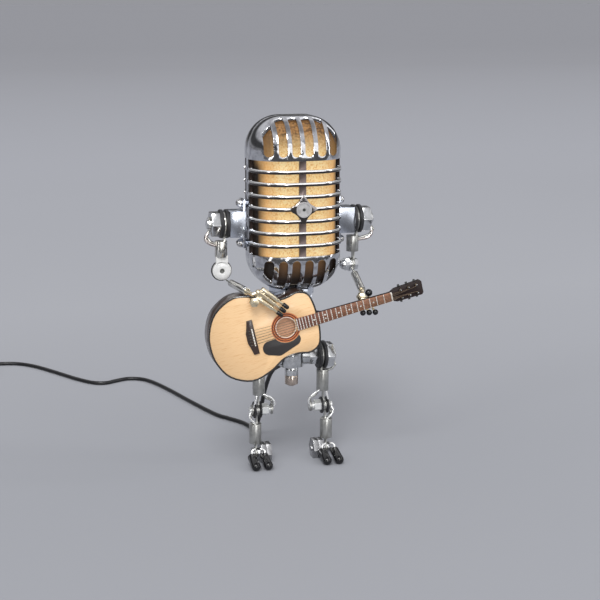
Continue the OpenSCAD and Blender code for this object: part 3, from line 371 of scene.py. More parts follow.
def ring_inlay():
    """The rosette: fine concentric rings of orange, brown and dark wood round the sound hole."""
    f = Finish("rosette_wood", IOR=1.5, Coat_Weight=0.5, Coat_Roughness=0.12)
    low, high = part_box("rosette")
    x, z = f.axis("x") - (low[0] + high[0]) / 2 / MM, f.axis("z") - (low[2] + high[2]) / 2 / MM
    ring_pitch, start = 1.25, 0.6
    band = f.maths("SINE", f.maths("SQRT", x * x + z * z) * (2 * pi / ring_pitch) + start)
    grain = f.noise(900, 3, 0.6)
    orange = f.mix(grain, srgb(196, 98, 50), srgb(226, 140, 84))
    f.feed(Base_Color=f.mix(f.clip(band + 0.4 * grain, -0.4, 0.9), srgb(74, 32, 20), orange),
           Roughness=0.28 + 0.14 * grain)
    f.bump(grain, 0.1, 0.04)
    return f.material


# ---------- the finishes ----------

CHROME = shell_chrome()
BAR_CHROME = bar_chrome()
SCREW_CHROME = cold_metal("screw_chrome", (0.80, 0.80, 0.81), (0.55, 0.54, 0.53), rough=0.13, wear=0.6)
STEEL = cold_metal("bracket_steel", (0.74, 0.78, 0.87), (0.56, 0.60, 0.68), rough=0.20, wear=0.25)
NUT_METAL = cold_metal("nut_chrome", (0.82, 0.83, 0.84), (0.58, 0.59, 0.60), rough=0.13, wear=0.4)
NICKEL = cold_metal("aged_nickel", (0.70, 0.61, 0.53), (0.42, 0.34, 0.29), rough=0.22, wear=0.6)
SLEEVE_METAL = cold_metal("arm_nickel", (0.84, 0.83, 0.79), (0.62, 0.61, 0.57), rough=0.18, wear=0.3)
HAND_METAL = cold_metal("hand_nickel", (0.98, 0.90, 0.70), (0.74, 0.62, 0.42), rough=0.22, wear=0.7)
BODY_METAL = cold_metal("body_chrome", (0.76, 0.77, 0.78), (0.52, 0.53, 0.54), rough=0.16, wear=0.4)
HEEL_METAL = cold_metal("heel_nuts", (0.56, 0.56, 0.56), (0.30, 0.30, 0.31), rough=0.16, wear=0.8)
BAIL_METAL = cold_metal("bail_wire", (0.84, 0.78, 0.75), (0.56, 0.50, 0.47), rough=0.16, wear=0.4)
POST_METAL = cold_metal("tuner_chrome", (0.46, 0.46, 0.46), (0.22, 0.22, 0.22), rough=0.12, wear=0.5)
STRING_METAL = cold_metal("string_bronze", (0.30, 0.23, 0.17), (0.17, 0.12, 0.08), rough=0.25, wear=0.5)
FRET_METAL = smooth_plastic("fret_wire", (0.86, 0.80, 0.74), (0.98, 0.95, 0.92), rough=0.2, coat=0.6)
LUG_METAL = smooth_plastic("tinned_lug", (0.70, 0.70, 0.69), (0.84, 0.84, 0.83), rough=0.30, coat=0.4)
SATIN = satin_plate("satin_plate", (0.62, 0.61, 0.61), (0.44, 0.43, 0.43), metal=0.60, rough=0.30)
LEG_SLEEVE = satin_plate("leg_sleeve", (0.47, 0.47, 0.45), (0.35, 0.35, 0.33), metal=0.95, rough=0.32)
WIRE_METAL = satin_plate("bright_wire", (1.0, 1.0, 0.99), (0.90, 0.90, 0.89), metal=0.70, rough=0.16)
NUT_SATIN = satin_plate("knee_nut", (0.90, 0.91, 0.90), (0.76, 0.77, 0.76), metal=0.55, rough=0.26)
RUBBER = black_rubber("black_rubber")
TIP_RUBBER = black_rubber("tip_rubber", (0.004, 0.004, 0.005), rough=0.13, wear=0.3)
CORD_VINYL = black_rubber("cord_black", (0.005, 0.005, 0.006), rough=0.26, wear=0.4)
GOLD = gold_mesh()
SPRUCE = long_grain("spruce_top", srgb(242, 207, 160), srgb(212, 156, 98), 0.85, coat=0.12, rough=0.34)
SIDE_WOOD = long_grain("guitar_sides", (0.050, 0.026, 0.017), (0.018, 0.009, 0.007), 1.2, coat=0.8)
NECK_WOOD = long_grain("neck_wood", (0.022, 0.012, 0.011), (0.009, 0.005, 0.005), 1.0, coat=0.1,
                       rough=0.36, ior=1.32)
BRIDGE_WOOD = long_grain("bridge_wood", (0.040, 0.020, 0.014), (0.014, 0.008, 0.006), 0.9, coat=0.3)
HOLE_WOOD = long_grain("inner_wood", srgb(226, 180, 146), srgb(176, 120, 92), 1.2, coat=0.0, rough=0.6)
BOARD_WOOD = board_wood()
BINDING = smooth_plastic("black_binding", (0.012, 0.011, 0.011), (0.028, 0.024, 0.022), rough=0.24, coat=0.5)
GUARD = smooth_plastic("pickguard_black", (0.020, 0.018, 0.018), (0.032, 0.029, 0.029), rough=0.5, speck=500)
PEG_BLACK = smooth_plastic("tuner_pegs", (0.014, 0.015, 0.014), (0.040, 0.044, 0.038), rough=0.25, coat=0.4)
BONE = smooth_plastic("bone_white", (0.82, 0.78, 0.70), (0.95, 0.93, 0.88))
CERAMIC = smooth_plastic("lamp_ceramic", (0.70, 0.69, 0.65), (0.84, 0.83, 0.80), coat=0.4)
GLASS = smooth_plastic("lamp_glass", (0.80, 0.62, 0.34), (0.95, 0.84, 0.60), rough=0.12, coat=0.6)


# ---------- mesh building ----------

BODY_OF = {node: body for body, nodes in frame["record"]["behaviour"]["bodies"].items() for node in nodes}
EDGE_ANGLE, FACE_ANGLE = radians(38), radians(0.3)  # what counts as a sharp edge, and as one flat face


def new_piece(name, mesh, material, smooth_below=None):
    """Turns a bmesh into a piece of the scene with one material."""
    data = bpy.data.meshes.new(name)
    mesh.to_mesh(data)
    mesh.free()
    data.materials.append(material)
    if smooth_below is not None:
        data.shade_smooth()
        data.set_sharp_from_angle(angle=radians(smooth_below))
    piece = bpy.data.objects.new(name, data)
    bpy.context.collection.objects.link(piece)
    return piece


def mount(piece, node, *replaced):
    """Seats a piece on the body of a CAD node, and hides the CAD nodes that it stands for."""
    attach(piece, BODY_OF[node])
    if replaced:
        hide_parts(*replaced)


def round_edges(piece, width, steps):
    """Smooths a piece and rounds its sharp edges over, by a width in mm."""
    piece.data.shade_smooth()
    bevel = piece.modifiers.new("rounded_edges", "BEVEL")
    bevel.width, bevel.segments, bevel.limit_method = width * MM, steps, "ANGLE"
    bevel.angle_limit, bevel.harden_normals, bevel.miter_outer = EDGE_ANGLE, True, "MITER_ARC"


def machined(node, material, edge, steps):
    """A CAD node's shape with its sharp edges rounded over, as turned, pressed and cut metal has them."""
    mesh = bmesh.new()
    mesh.from_mesh(frame["nodes"][node].data)
    bmesh.ops.remove_doubles(mesh, verts=mesh.verts, dist=0.004 * MM)
    bmesh.ops.dissolve_limit(mesh, angle_limit=FACE_ANGLE, verts=mesh.verts, edges=mesh.edges,
                             use_dissolve_boundaries=False, delimit=set())
    piece = new_piece(node + "_finished", mesh, material)
    round_edges(piece, edge, steps)
    mount(piece, node, node)


def keep_cad(node, finish):
    """A CAD node whose shape is right as it is, with its finish."""
    data = frame["nodes"][node].data
    data.materials.clear()
    data.materials.append(finish)


def add_bar(mesh, p, q, radius, end_radius=None, sides=20):
    """A round or many-sided bar from p to q."""
    lie = Matrix.Translation((p + q) / 2) @ (q - p).to_track_quat("Z", "Y").to_matrix().to_4x4()
    bmesh.ops.create_cone(mesh, cap_ends=True, segments=sides, radius1=radius * MM,
                          radius2=(radius if end_radius is None else end_radius) * MM,
                          depth=(q - p).length, matrix=lie)


def add_ball(mesh, p, radius, rings):
    bmesh.ops.create_uvsphere(mesh, u_segments=2 * rings, v_segments=rings, radius=radius * MM,
                              matrix=Matrix.Translation(p))


def beside(centre, axis, reach):
    """The matrix that stands a flat shape on edge beside an axis, at a reach in mm from its centre."""
    out = axis.orthogonal().normalized()
    facing = Matrix((out, axis, out.cross(axis))).transposed().to_4x4()
    return Matrix.Translation(centre + out * reach * MM) @ facing


def edges_of(verts):
    """The edges at some vertices, each once and in a fixed order."""
    return list(dict.fromkeys(e for v in verts for e in v.link_edges))


def spin_round(mesh, verts, edges, centre, axis, steps):
    bmesh.ops.spin(mesh, geom=verts + edges, cent=centre, axis=axis, angle=2 * pi, steps=steps,
                   use_merge=True)


def add_ring(mesh, centre, axis, radius, thick, steps):
    """A round ring of wire: a small circle spun about an axis."""
    stand = beside(centre, axis, radius)
    start = bmesh.ops.create_circle(mesh, segments=8, radius=thick * MM, matrix=stand)["verts"]
    spin_round(mesh, start, edges_of(start), centre, axis, steps)


def add_washer(mesh, centre, axis, inner, outer, thick):
    """A flat ring: an upright rectangle spun about the axis."""
    size = Matrix.Diagonal(((outer - inner) * MM, thick * MM, 1, 1))
    stand = beside(centre, axis, (inner + outer) / 2) @ size
    corners = bmesh.ops.create_grid(mesh, x_segments=1, y_segments=1, size=0.5, matrix=stand)["verts"]
    face = corners[0].link_faces[0]
    edges = list(face.edges)
    bmesh.ops.delete(mesh, geom=[face], context="FACES_ONLY")
    spin_round(mesh, corners, edges, centre, axis, 64)
    bmesh.ops.recalc_face_normals(mesh, faces=mesh.faces)


def smooth(points, steps=6):
    """Points along a curve through the given points."""
    ends = [2 * points[0] - points[1], *points, 2 * points[-1] - points[-2]]
    curve = []
    for a, b, c, d in zip(ends, ends[1:], ends[2:], ends[3:]):
        for t in (k / steps for k in range(steps)):
            curve.append(0.5 * (2 * b + (c - a) * t + (2 * a - 5 * b + 4 * c - d) * t * t
                                + (3 * b - a - 3 * c + d) * t * t * t))
    return curve + [points[-1]]


def add_wire(mesh, points, radius, sides):
    """A bent wire: a round end carried along the points and turned with them."""
    facing = (points[1] - points[0]).normalized()
    start = Matrix.Translation(points[0]) @ facing.to_track_quat("Z", "Y").to_matrix().to_4x4()
    ring = bmesh.ops.create_circle(mesh, cap_ends=True, segments=sides, radius=radius * MM,
                                   matrix=start)["verts"]
    edges = edges_of(ring)
    for i in range(1, len(points)):
        ahead = (points[min(i + 1, len(points) - 1)] - points[i - 1]).normalized()
        turn = facing.rotation_difference(ahead).to_matrix().to_4x4()
        step = Matrix.Translation(points[i]) @ turn @ Matrix.Translation(-points[i - 1])
        grown = bmesh.ops.extrude_edge_only(mesh, edges=edges)["geom"]
        ring = [g for g in grown if isinstance(g, bmesh.types.BMVert)]
        bmesh.ops.transform(mesh, matrix=step, verts=ring)
        edges = [g for g in grown if isinstance(g, bmesh.types.BMEdge)
                 and all(v in ring for v in g.verts)]
        facing = ahead
    bmesh.ops.contextual_create(mesh, geom=edges)
    bmesh.ops.recalc_face_normals(mesh, faces=mesh.faces)


# ---------- the cord ----------

CORD_RADIUS = 1.4
ROUTE = [(-6.06, 23.13, 56.33), (-7.5, 31, 49), (-8.6, 40, 37), (-9, 49, 23), (-9.2, 58, 10),
         (-9.4, 67, 2.8), (-10.5, 76, 1.4), (-14, 87, 1.4), (-21, 99, 1.4), (-28, 112, 1.4),
         (-38.6, 147, 1.4), (-49, 185, 1.4), (-57, 208, 1.4), (-64, 219, 1.4), (-74, 223, 1.4),
         (-84, 219, 1.4), (-92, 215, 1.4), (-101, 218, 1.4), (-112, 232, 1.4), (-127, 258, 1.4),
         (-140, 279, 1.4), (-152, 291, 1.4), (-165, 295, 1.5), (-177, 293.2, 1.7)]
TAIL = [(-213.4, 266, 7.3), (-212.4, 258, 5.2), (-211.3, 250, 3.5), (-211, 245.6, 3.2)]
COIL_CENTRE, TURNS, STEPS_PER_TURN = (-195, 272), 8.25, 16
COIL_CELLS = [(18.8, 2.1), (16, 2.1), (13.2, 2.1), (13.2, 4.9), (13.2, 7.7), (16, 7.7), (16, 4.9),
              (18.8, 4.9), (18.8, 7.7), (18.8, 7.7)]  # each turn's radius and height
SHIFT_FROM = 0.7  # the part of a turn after which it moves over to the next cell


def coil_points():
    """The wound turns: each keeps its cell in the bundle, and moves over to the next one at its end."""
    points, (x, y) = [], COIL_CENTRE
    for step in range(int(TURNS * STEPS_PER_TURN)):
        turn, part = divmod(step / STEPS_PER_TURN, 1)
        shift = max(0.0, (part - SHIFT_FROM) / (1 - SHIFT_FROM))
        shift = shift * shift * (3 - 2 * shift)
        (r0, z0), (r1, z1) = COIL_CELLS[int(turn)], COIL_CELLS[int(turn) + 1]
        radius, height = r0 + (r1 - r0) * shift, z0 + (z1 - z0) * shift
        angle = pi / 2 + 2 * pi * step / STEPS_PER_TURN
        points.append((x + radius * cos(angle), y + radius * sin(angle), height))
    return points


def lay_cord(material):
    """The cord as one curve, and the points it passes through."""
    points = [at(*p) for p in ROUTE + coil_points() + TAIL]
    curve = bpy.data.curves.new("mains_cord", "CURVE")
    curve.dimensions, curve.bevel_depth, curve.bevel_resolution = "3D", CORD_RADIUS * MM, 4
    curve.resolution_u, curve.use_fill_caps = 6, True
    spline = curve.splines.new("BEZIER")
    spline.bezier_points.add(len(points) - 1)
    for i, knot in enumerate(spline.bezier_points):
        reach = (points[min(i + 1, len(points) - 1)] - points[max(i - 1, 0)]) / 6
        knot.co = points[i]
        knot.handle_left_type = knot.handle_right_type = "FREE"
        knot.handle_left, knot.handle_right = points[i] - reach, points[i] + reach
    curve.materials.append(material)
    cord = bpy.data.objects.new("mains_cord", curve)
    bpy.context.collection.objects.link(cord)
    mount(cord, "cord_lead", "cord_lead", "cord_coil")
    return cord, points


# ---------- the turned, pressed and cut parts ----------

# Each node, its finish, how far its edges are rounded over in mm, and in how many steps.
HARD_PARTS = [
    ("head_front_shell", CHROME, 0.55, 3), ("head_rear_shell", CHROME, 0.55, 3),
    ("lamp_holder", CERAMIC, 0.3, 2), ("body_rod", BODY_METAL, 0.2, 2), ("neck_collar", STEEL, 0.4, 2),
    ("body_sleeve", BODY_METAL, 0.35, 2), ("pelvis_tube", BODY_METAL, 0.4, 2),
    ("switch_washer", SCREW_CHROME, 0.2, 2),
    ("switch_barrel", BODY_METAL, 0.3, 2), ("dimmer_knob", NICKEL, 0.3, 2),
    ("shoulder_brackets", STEEL, 0.3, 2), ("bracket_screws", SCREW_CHROME, 0.2, 2),
    ("shoulder_bolts", NUT_METAL, 0.4, 2), ("hip_bolts", NUT_METAL, 0.4, 2),
    ("hip_washers", RUBBER, 0.5, 3), ("guitar_stud", NUT_METAL, 0.3, 2),
    ("guitar_body", SIDE_WOOD, 0.2, 2), ("guitar_top", SPRUCE, 0.08, 1),
    ("guitar_binding", BINDING, 0.25, 3), ("guitar_neck", NECK_WOOD, 0.3, 2),
    ("fretboard", BOARD_WOOD, 0.1, 1), ("guitar_bridge", BRIDGE_WOOD, 0.25, 2),
    ("pickguard", GUARD, 0.1, 2), ("nut_and_saddle", BONE, 0.1, 2),
    ("right_upper_arm", SLEEVE_METAL, 0.3, 2), ("right_elbow_screw", LUG_METAL, 0.25, 2),
    ("right_forearm", SLEEVE_METAL, 0.3, 2), ("right_hand", HAND_METAL, 0.25, 2),
    ("right_fingertips", TIP_RUBBER, 0.2, 2), ("left_upper_arm", LEG_SLEEVE, 0.3, 2),
    ("left_elbow_bolt", NUT_METAL, 0.3, 2), ("left_forearm", SLEEVE_METAL, 0.3, 2),
    ("left_hand", HAND_METAL, 0.25, 2), ("left_fingertips", TIP_RUBBER, 0.15, 2),
    ("cord_gland", RUBBER, 0.2, 2), ("cord_tie", RUBBER, 0.15, 2)]
LEG_PARTS = [("thigh", LEG_SLEEVE, 0.3, 2), ("knee_washers", RUBBER, 0.4, 2),
             ("shin", LEG_SLEEVE, 0.3, 2), ("foot", HEEL_METAL, 0.3, 2), ("toe_caps", TIP_RUBBER, 0.2, 2)]


def dress_hard_parts():
    for part in HARD_PARTS:
        machined(*part)
    for side in ("right_", "left_"):
        for node, finish, edge, steps in LEG_PARTS:
            machined(side + node, finish, edge, steps)


# ---------- the guitar's fittings ----------

SOUND_HOLE = (-12.3, -31, 95.6)  # its middle, on the guitar's top
NECK_END, BRIDGE = 68.6, -21  # the nut and the saddle, along the neck from the sound hole
BOARD_START, BOARD_WIDTH, BOARD_TAPER = 6.8, 7.4, 1.9
FRETS, DOTTED = 20, (3, 5, 7, 9, 12, 15)
STRING_RADII = (0.17, 0.16, 0.15, 0.13, 0.12, 0.11)
SADDLE_SPACING, NUT_SPACING = 1.76, 0.84  # from string to string
# How far behind the guitar's top, or in front of it where less than 0.
TIED, PIN, SADDLE_TOP, NUT_TOP = -1.1, -1.15, -1.95, -1.65
FRET, DOT_FOOT, DOT_FACE, EDGING, HOLE_RING = -1.0, -0.8, -1.06, -0.45, -0.05
BLOCK_FACE, BLOCK_BACK = 3.2, 10.6
# How far behind the headstock's face, or in front of it where less than 0.
POST_TOP, WINDING, COLLAR_TOP, POST_FOOT, PEG_BACK = -1.6, -0.9, -0.35, 0.1, 1.7
# Along the headstock from the nut, and across it from its middle line.
FIRST_POST, POST_PITCH, POST_ACROSS = 6.6, 5.4, 2.5
STRING_ACROSS, PEG_ACROSS, PEG_HALF, STEM_ACROSS = 1.7, 4.9, 0.55, (3.8, 4.5)
PIN_RADIUS, POST_RADIUS, COLLAR_RADII, STEM_RADIUS, PEG_RADIUS = 0.5, 0.62, (1.15, 1.0), 0.4, 0.85
WINDING_RADIUS, WINDING_THICK = 0.72, 0.16
FRET_RADIUS, DOT_RADIUS, EDGING_RADIUS, BLOCK_RADIUS = 0.32, 0.55, 0.22, 9.5
HOLE_RADIUS, HOLE_RING_THICK = 6.3, 0.2


def on_guitar(along, back, across):
    """A point given in mm from the sound hole: along the neck, back from the top, and across."""
    x, y, z = SOUND_HOLE
    return at(x + along * cos(RISE) - across * sin(RISE), y + back,
              z + along * sin(RISE) + across * cos(RISE))


def on_headstock(along, back, across):
    """A point on the headstock, which starts at the nut and leans back."""
    return on_guitar(NECK_END + along * cos(LEAN) - back * sin(LEAN),
                     along * sin(LEAN) + back * cos(LEAN), across)


def board_half(along):
    """Half the fretboard's width, which narrows toward the nut."""
    return (BOARD_WIDTH - BOARD_TAPER * (along - BOARD_START) / (NECK_END - BOARD_START)) / 2


def fret_at(number):
    """A fret's place along the neck: each is a twelfth of an octave past the one before."""
    return NECK_END - (NECK_END - BRIDGE) * (1 - 2 ** (-number / 12))


def post_place(n):
    """How far up the headstock string n has its post, and on which side."""
    return FIRST_POST + POST_PITCH * min(n, 5 - n), (-1 if n < 3 else 1)


def add_string(n, strings, pegs):
    """String n, from its pin behind the saddle over the nut to its post."""
    radius, (spot, side) = STRING_RADII[n], post_place(n)
    low, high = SADDLE_SPACING * (n - 2.5), NUT_SPACING * (n - 2.5)
    saddle, nut = on_guitar(BRIDGE, SADDLE_TOP, low), on_guitar(NECK_END, NUT_TOP, high)
    tied, wound = on_guitar(BRIDGE - 2.2, TIED, low), on_headstock(spot, WINDING, side * STRING_ACROSS)
    for p, q in ((tied, saddle), (saddle, nut), (nut, wound)):
        add_bar(strings, p, q, radius, sides=8)
    for p in (saddle, nut):
        add_ball(strings, p, radius, 5)
    add_ball(pegs, on_guitar(BRIDGE - 2.4, PIN, low), PIN_RADIUS, 8)


def add_tuner(n, strings, posts, pegs):
    """The post that string n winds round, its collar, and its button at the headstock's edge."""
    spot, side = post_place(n)
    top, winding, collar, foot = (on_headstock(spot, back, side * POST_ACROSS)
                                  for back in (POST_TOP, WINDING, COLLAR_TOP, POST_FOOT))
    add_bar(posts, foot, top, POST_RADIUS)
    add_ball(posts, top, POST_RADIUS, 8)
    add_bar(posts, foot, collar, *COLLAR_RADII, 24)
    add_ring(strings, winding, (top - foot).normalized(), WINDING_RADIUS, WINDING_THICK, 20)
    stem = (on_headstock(spot, PEG_BACK, side * across) for across in STEM_ACROSS)
    add_bar(posts, *stem, STEM_RADIUS)
    button = (on_headstock(spot + end, PEG_BACK, side * PEG_ACROSS) for end in (-PEG_HALF, PEG_HALF))
    add_bar(pegs, *button, PEG_RADIUS, sides=24)


def add_inlays(pale):
    """The fretboard's dots, its pale lower edge, and the white ring at the sound hole."""
    for number in DOTTED:
        u = (fret_at(number) + fret_at(number - 1)) / 2
        for v in ((-1.1, 1.1) if number == 12 else (0,)):
            add_bar(pale, on_guitar(u, DOT_FOOT, v), on_guitar(u, DOT_FACE, v), DOT_RADIUS)
    edge_start, edge_end = 7, NECK_END - 0.6
    add_bar(pale, on_guitar(edge_start, EDGING, -board_half(edge_start)),
            on_guitar(edge_end, EDGING, -board_half(NECK_END)), EDGING_RADIUS, sides=10)
    add_ring(pale, on_guitar(0, HOLE_RING, 0), Y_AXIS, HOLE_RADIUS, HOLE_RING_THICK, 64)


def fit_guitar():
    """Strings, tuners, frets, inlays and the wood seen through the sound hole."""
    strings, posts, pegs, frets, pale, inside = (bmesh.new() for _ in range(6))
    for n in range(len(STRING_RADII)):
        add_string(n, strings, pegs)
        add_tuner(n, strings, posts, pegs)
    for number in range(1, FRETS + 1):
        u = fret_at(number)
        add_bar(frets, *(on_guitar(u, FRET, way * board_half(u)) for way in (-1, 1)), FRET_RADIUS, sides=12)
    add_inlays(pale)
    add_bar(inside, on_guitar(0, BLOCK_FACE, 0), on_guitar(0, BLOCK_BACK, 0), BLOCK_RADIUS, sides=48)
    for name, mesh, finish, node, replaced in (
            ("guitar_strings", strings, STRING_METAL, "nut_and_saddle", ()),
            ("tuner_posts", posts, POST_METAL, "tuners", ("tuners",)),
            ("tuner_pegs", pegs, PEG_BLACK, "tuners", ()),
            ("fret_wires", frets, FRET_METAL, "frets", ("frets",)),
            ("pale_inlays", pale, BONE, "nut_and_saddle", ()),
            ("sound_block", inside, HOLE_WOOD, "guitar_top", ())):
        mount(new_piece(name, mesh, finish, 30), node, *replaced)


# ---------- the head's bars and boss ----------

BAR_BEND = 20.95  # radius of a bar's corners
BAR_CORNER = (7.5, 4.5)  # the middle of a corner, to the side and to the front
BAR_RADIUS, BAR_HEIGHTEN = 0.55, 2.2  # a bar is taller than it is deep


def round_bars():
    """The round face of each bar, from one side strip round to the other, before and behind."""
    corner = [radians(5 + 85 * k / 14) for k in range(15)]
    path = [(-BAR_CORNER[0] - BAR_BEND * cos(a), BAR_CORNER[1] + BAR_BEND * sin(a)) for a in corner]
    path += [(-x, y) for x, y in reversed(path)]
    for name, node, way in (("round_bars_front", "head_front_shell", -1),
                            ("round_bars_rear", "head_rear_shell", 1)):
        mesh = bmesh.new()
        for i in range(BANDS - 1):
            z, done = GRILLE_Z + i * BAND_PITCH + BAR_MIDDLE, len(mesh.verts)
            add_wire(mesh, [at(x, way * y, z) for x, y in path], BAR_RADIUS, 20)
            bmesh.ops.scale(mesh, vec=(1, 1, BAR_HEIGHTEN), space=Matrix.Translation((0, 0, -z * MM)),
                            verts=list(mesh.verts)[done:])
        mount(new_piece(name, mesh, BAR_CHROME, 40), node)


def boss_disc():
    """The boss's dished screw: a raised rim, a flat face, and a black disc of painted shade for its small
    hole.
    """
    mesh, hole = bmesh.new(), bmesh.new()
    seat, rim_face, radius = -26.6, -27.9, 4.7
    hole_foot, hole_face, hole_radius = -27.2, -27.56, 0.95
    add_bar(mesh, at(0, seat, BOSS_Z), at(0, rim_face, BOSS_Z), radius, sides=64)
    face = min(mesh.faces, key=lambda f: f.calc_center_median().y)
    for width, deep in ((0.75, 0.0), (0.35, -0.4)):  # the rim's flat top, then its slope down to the face
        bmesh.ops.inset_region(mesh, faces=[face], thickness=width * MM, depth=deep * MM)
    # Painted shade: a black disc on the face stands for the small hole.
    add_bar(hole, at(0, hole_foot, BOSS_Z), at(0, hole_face, BOSS_Z), hole_radius, sides=32)
    mount(new_piece("boss_disc", mesh, SATIN, 30), "boss_screw", "boss_screw")
    mount(new_piece("boss_hole_shade", hole, PEG_BLACK, 30), "boss_screw")


# ---------- shoulders, elbow and legs ----------

# How far out, back and up each bent wire's points lie. The left side is the right side mirrored.
LEG_WIRES = {
    "thigh": (((20.4, 3.4, 46.2), (17.0, 2.6, 44.4), (13.2, 2.2, 42.2), (11.2, 2.6, 38.9),
               (12.0, 3.6, 36.0), (13.2, 4.4, 35.2)),
              ((22.6, 3.0, 45.4), (23.4, 2.6, 41.8), (24.2, 2.6, 38.2), (24.9, 3.2, 35.6))),
    "shin": (((25.4, 4.0, 34.6), (27.4, 3.0, 32.0), (27.0, 2.6, 29.4), (24.9, 2.6, 27.0),
              (23.4, 3.0, 25.0)),),
    "foot": (((21.7, -1.0, 10.2), (20.1, -1.5, 9.9), (18.8, -2.2, 8.6), (19.5, -2.4, 7.0)),
             ((24.7, -0.8, 10.2), (26.2, -0.9, 9.9), (27.3, -1.3, 8.6), (26.9, -1.9, 7.0)))}
BAIL_WIRE, LEG_WIRE = 1.0, 0.72  # radii


def rubber_discs():
    """The shoulders' thick rubber washers."""
    mesh = bmesh.new()
    inner, outer, thick = 4.2, 8.9, 2.08
    for side in (-1, 1):
        for x in (40.75, 44.25):
            add_washer(mesh, at(side * x, SHOULDER_Y, SHOULDER_Z), X_AXIS, inner, outer, thick)
    piece = new_piece("rubber_discs", mesh, RUBBER)
    round_edges(piece, 0.5, 4)
    mount(piece, "shoulder_washers", "shoulder_washers")


def elbow_face():
    """The right elbow's bright lug with a rubber ring behind it, and a black disc of painted shade for its
    screw's socket.
    """
    lug, ring, hole = bmesh.new(), bmesh.new(), bmesh.new()

    def elbow_at(y, up=0):
        return at(-44.3, y, ELBOW_Z + up)

    lug_back, lug_face, lug_radius = 3.84, 2.58, 5.9
    neck_width, neck_height = 7.6, 9.2
    neck_size = Matrix.Diagonal((neck_width * MM, (lug_back - lug_face) * MM, neck_height * MM, 1))
    neck_place = Matrix.Translation(elbow_at((lug_back + lug_face) / 2, neck_height / 2))
    add_bar(lug, elbow_at(lug_back), elbow_at(lug_face), lug_radius, sides=64)
    bmesh.ops.create_cube(lug, size=1, matrix=neck_place @ neck_size)
    ring_middle, ring_inner, ring_outer, ring_thick = 4.5, 5.06, 6.5, 1.0
    add_washer(ring, elbow_at(ring_middle), Y_AXIS, ring_inner, ring_outer, ring_thick)
    # Painted shade: a black disc on the screw's face stands for its socket.
    hole_foot, hole_face, hole_radius = 2.37, 2.0, 1.45
    add_bar(hole, elbow_at(hole_foot), elbow_at(hole_face), hole_radius, sides=32)
    mount(new_piece("elbow_socket_shade", hole, PEG_BLACK, 30), "right_elbow_screw")
    for name, mesh, finish, node in (("elbow_lug", lug, LUG_METAL, "right_upper_arm"),
                                     ("elbow_rubber", ring, RUBBER, "right_forearm")):
        piece = new_piece(name, mesh, finish)
        round_edges(piece, 0.3, 3)
        mount(piece, node)


def bails():
    """The thick wire loops that hook round the ends of the shoulder bolts. The left one lies closer."""
    for node, side, sleeve_x, closer in (("right_upper_arm", -1, 44.3, 0),
                                         ("left_upper_arm", 1, 40.3, 1.3)):
        mesh = bmesh.new()
        points = [(52.2, 4.6, 149.4), (53.6 - closer, 4.3, 147.6), (54.0 - closer, 4.1, 145.4),
                  (52.4 - closer, 4.0, 143.3), (49.6 - closer, 4.2, 142.0), (sleeve_x + 1.5, 4.6, 141.2)]
        add_wire(mesh, smooth([at(side * x, y, z) for x, y, z in points]), BAIL_WIRE, 14)
        mount(new_piece(node + "_bail", mesh, BAIL_METAL, 40), node)


def leg_wires():
    """The bright bent wires of each leg and its knee's bolt with its nut."""
    bolt, nut = ((12.2, 27.3), 2.0, 32), ((15.1, 19.7), 4.0, 6)  # their ends, radius and sides
    for name, side in (("right_", -1), ("left_", 1)):
        for part, wires in LEG_WIRES.items():
            mesh = bmesh.new()
            for points in wires:
                add_wire(mesh, smooth([at(side * x, y, z) for x, y, z in points]), LEG_WIRE, 14)
            mount(new_piece(name + part + "_wires", mesh, WIRE_METAL, 40), name + part)
        mesh = bmesh.new()
        for ends, radius, sides in (bolt, nut):
            add_bar(mesh, *(at(side * x, KNEE_Y, KNEE_Z) for x in ends), radius, sides=sides)
        piece = new_piece(name + "knee_nut", mesh, NUT_SATIN)
        round_edges(piece, 0.3, 3)
        mount(piece, name + "knee_bolt", name + "knee_bolt")


# ---------- floor and light ----------

FLOOR_HALF, FLOOR_FRONT = 40, -0.34  # in metres
FLOOR_RAMP = (-300, 7700)  # from near to far, where the floor's painted light changes
# Painted light: the floor's colour is darker near the front and far off, and lightest a little behind the
# robot.
FLOOR_PAINTED_LIGHT = ((0.0, srgb(158, 160, 166)), (0.04, srgb(161, 163, 169)), (0.10, srgb(176, 178, 184)),
                (0.26, srgb(178, 180, 187)), (0.70, srgb(160, 161, 167)), (1, srgb(156, 157, 163)))
# The room as the plated parts show it, from straight down (0) to straight up (1): how light it is.
ROOM_SHADES = ((0.0, 0.13), (0.48, 0.13), (0.50, 0.28), (0.53, 0.30), (0.56, 0.07), (0.66, 0.07),
               (0.73, 0.75), (0.90, 0.85), (0.96, 0.42), (1.0, 0.36))
# Each lamp's place, what it faces and its settings, in metres.
LAMPS = (
    ("soft_sun", "SUN", (-0.4, -1.0, 1.15), (0, 0, 0), {"energy": 1.65, "angle": radians(24)}),
    ("front_softbox", "AREA", (0.30, -1.38, 0.52), (0, 0, 0.15),
     {"energy": 6.8, "shape": "RECTANGLE", "size": 2.4, "size_y": 0.70}),
    ("tall_strip", "AREA", (-0.05, -1.45, 0.20), (0, 0, 0.06),
     {"energy": 3.0, "shape": "RECTANGLE", "size": 0.12, "size_y": 0.46}),
    ("left_strip", "AREA", (-0.95, -0.55, 0.45), (0, 0, 0.14),
     {"energy": 1.6, "shape": "RECTANGLE", "size": 0.12, "size_y": 1.1}),
    ("right_strip", "AREA", (0.95, -0.30, 0.50), (0, 0, 0.14),
     {"energy": 1.6, "shape": "RECTANGLE", "size": 0.12, "size_y": 1.0}))


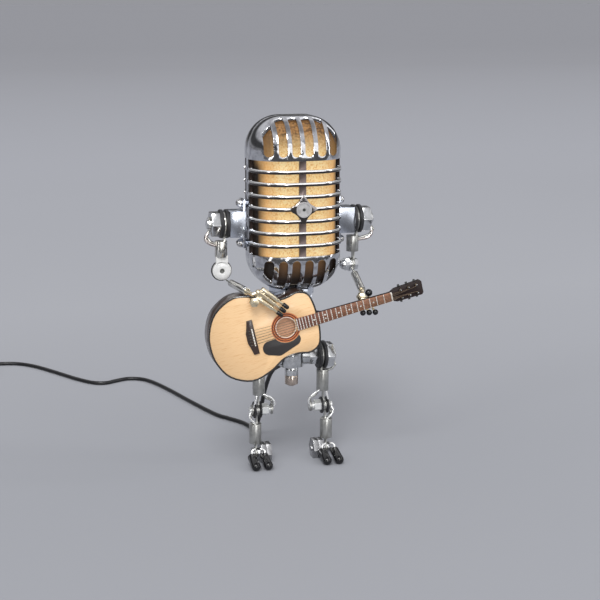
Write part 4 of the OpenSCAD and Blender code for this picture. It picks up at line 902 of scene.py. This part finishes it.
def lay_floor():
    """A matt grey floor that runs to the horizon, with painted light: lightest a little behind the robot,
    darker near the front and far off.
    """
    f = Finish("studio_floor", IOR=1.4, Specular_IOR_Level=0.25)
    cloud = f.noise(3, 3, 0.5)
    # Painted light along the floor, from near to far.
    shade = f.ramp(f.clip(f.axis("y"), *FLOOR_RAMP), *FLOOR_PAINTED_LIGHT)
    f.feed(Base_Color=f.mix(cloud * 0.06, shade, srgb(200, 202, 208)), Roughness=0.55 + 0.1 * cloud)
    mesh = bmesh.new()
    bmesh.ops.create_grid(mesh, x_segments=1, y_segments=1, size=FLOOR_HALF,
                          matrix=Matrix.Translation((0, FLOOR_HALF + FLOOR_FRONT, 0)))
    floor = new_piece("studio_floor", mesh, f.material)


def light_room():
    """A plain grey backdrop, and a room of light and dark bands that the plated parts show."""
    world = bpy.context.scene.world or bpy.data.worlds.new("studio")
    bpy.context.scene.world = world
    t = Tree(world)
    toward = Val(t, t.nodes.new("ShaderNodeTexCoord").outputs["Generated"])
    height = t.node("ShaderNodeSeparateXYZ", None, [toward], "Z") * 0.5 + 0.5
    shades = t.ramp(height, *((where, (grey, grey, grey * 1.03)) for where, grey in ROOM_SHADES))
    room = t.node("ShaderNodeBackground", None, {"Color": shades, "Strength": 0.85})
    backdrop = t.nodes["Background"]
    t.put(backdrop.inputs["Color"], srgb(150, 151, 156))
    t.put(backdrop.inputs["Strength"], 1.0)
    seen = t.node("ShaderNodeLightPath", None, (), "Is Camera Ray")
    both = t.node("ShaderNodeMixShader", None, [seen, room, Val(t, backdrop.outputs[0])])
    t.put(t.nodes["World Output"].inputs["Surface"], both)


def hang_lamps():
    for name, kind, where, aim, settings in LAMPS:
        data = bpy.data.lights.new(name, kind)
        for key, value in settings.items():
            setattr(data, key, value)
        light = bpy.data.objects.new(name, data)
        light.location = Vector(where)
        light.rotation_euler = (Vector(aim) - Vector(where)).to_track_quat("-Z", "Y").to_euler()
        bpy.context.collection.objects.link(light)


# ---------- making it ----------

cord, cord_points = lay_cord(CORD_VINYL)
keep_cad("cord_plug", plug_finish())
keep_cad("grille_liner", GOLD)
keep_cad("lamp_bulb", GLASS)
keep_cad("rosette", ring_inlay())
dress_hard_parts()
fit_guitar()
round_bars()
boss_disc()
rubber_discs()
elbow_face()
bails()
leg_wires()
lay_floor()
light_room()
hang_lamps()
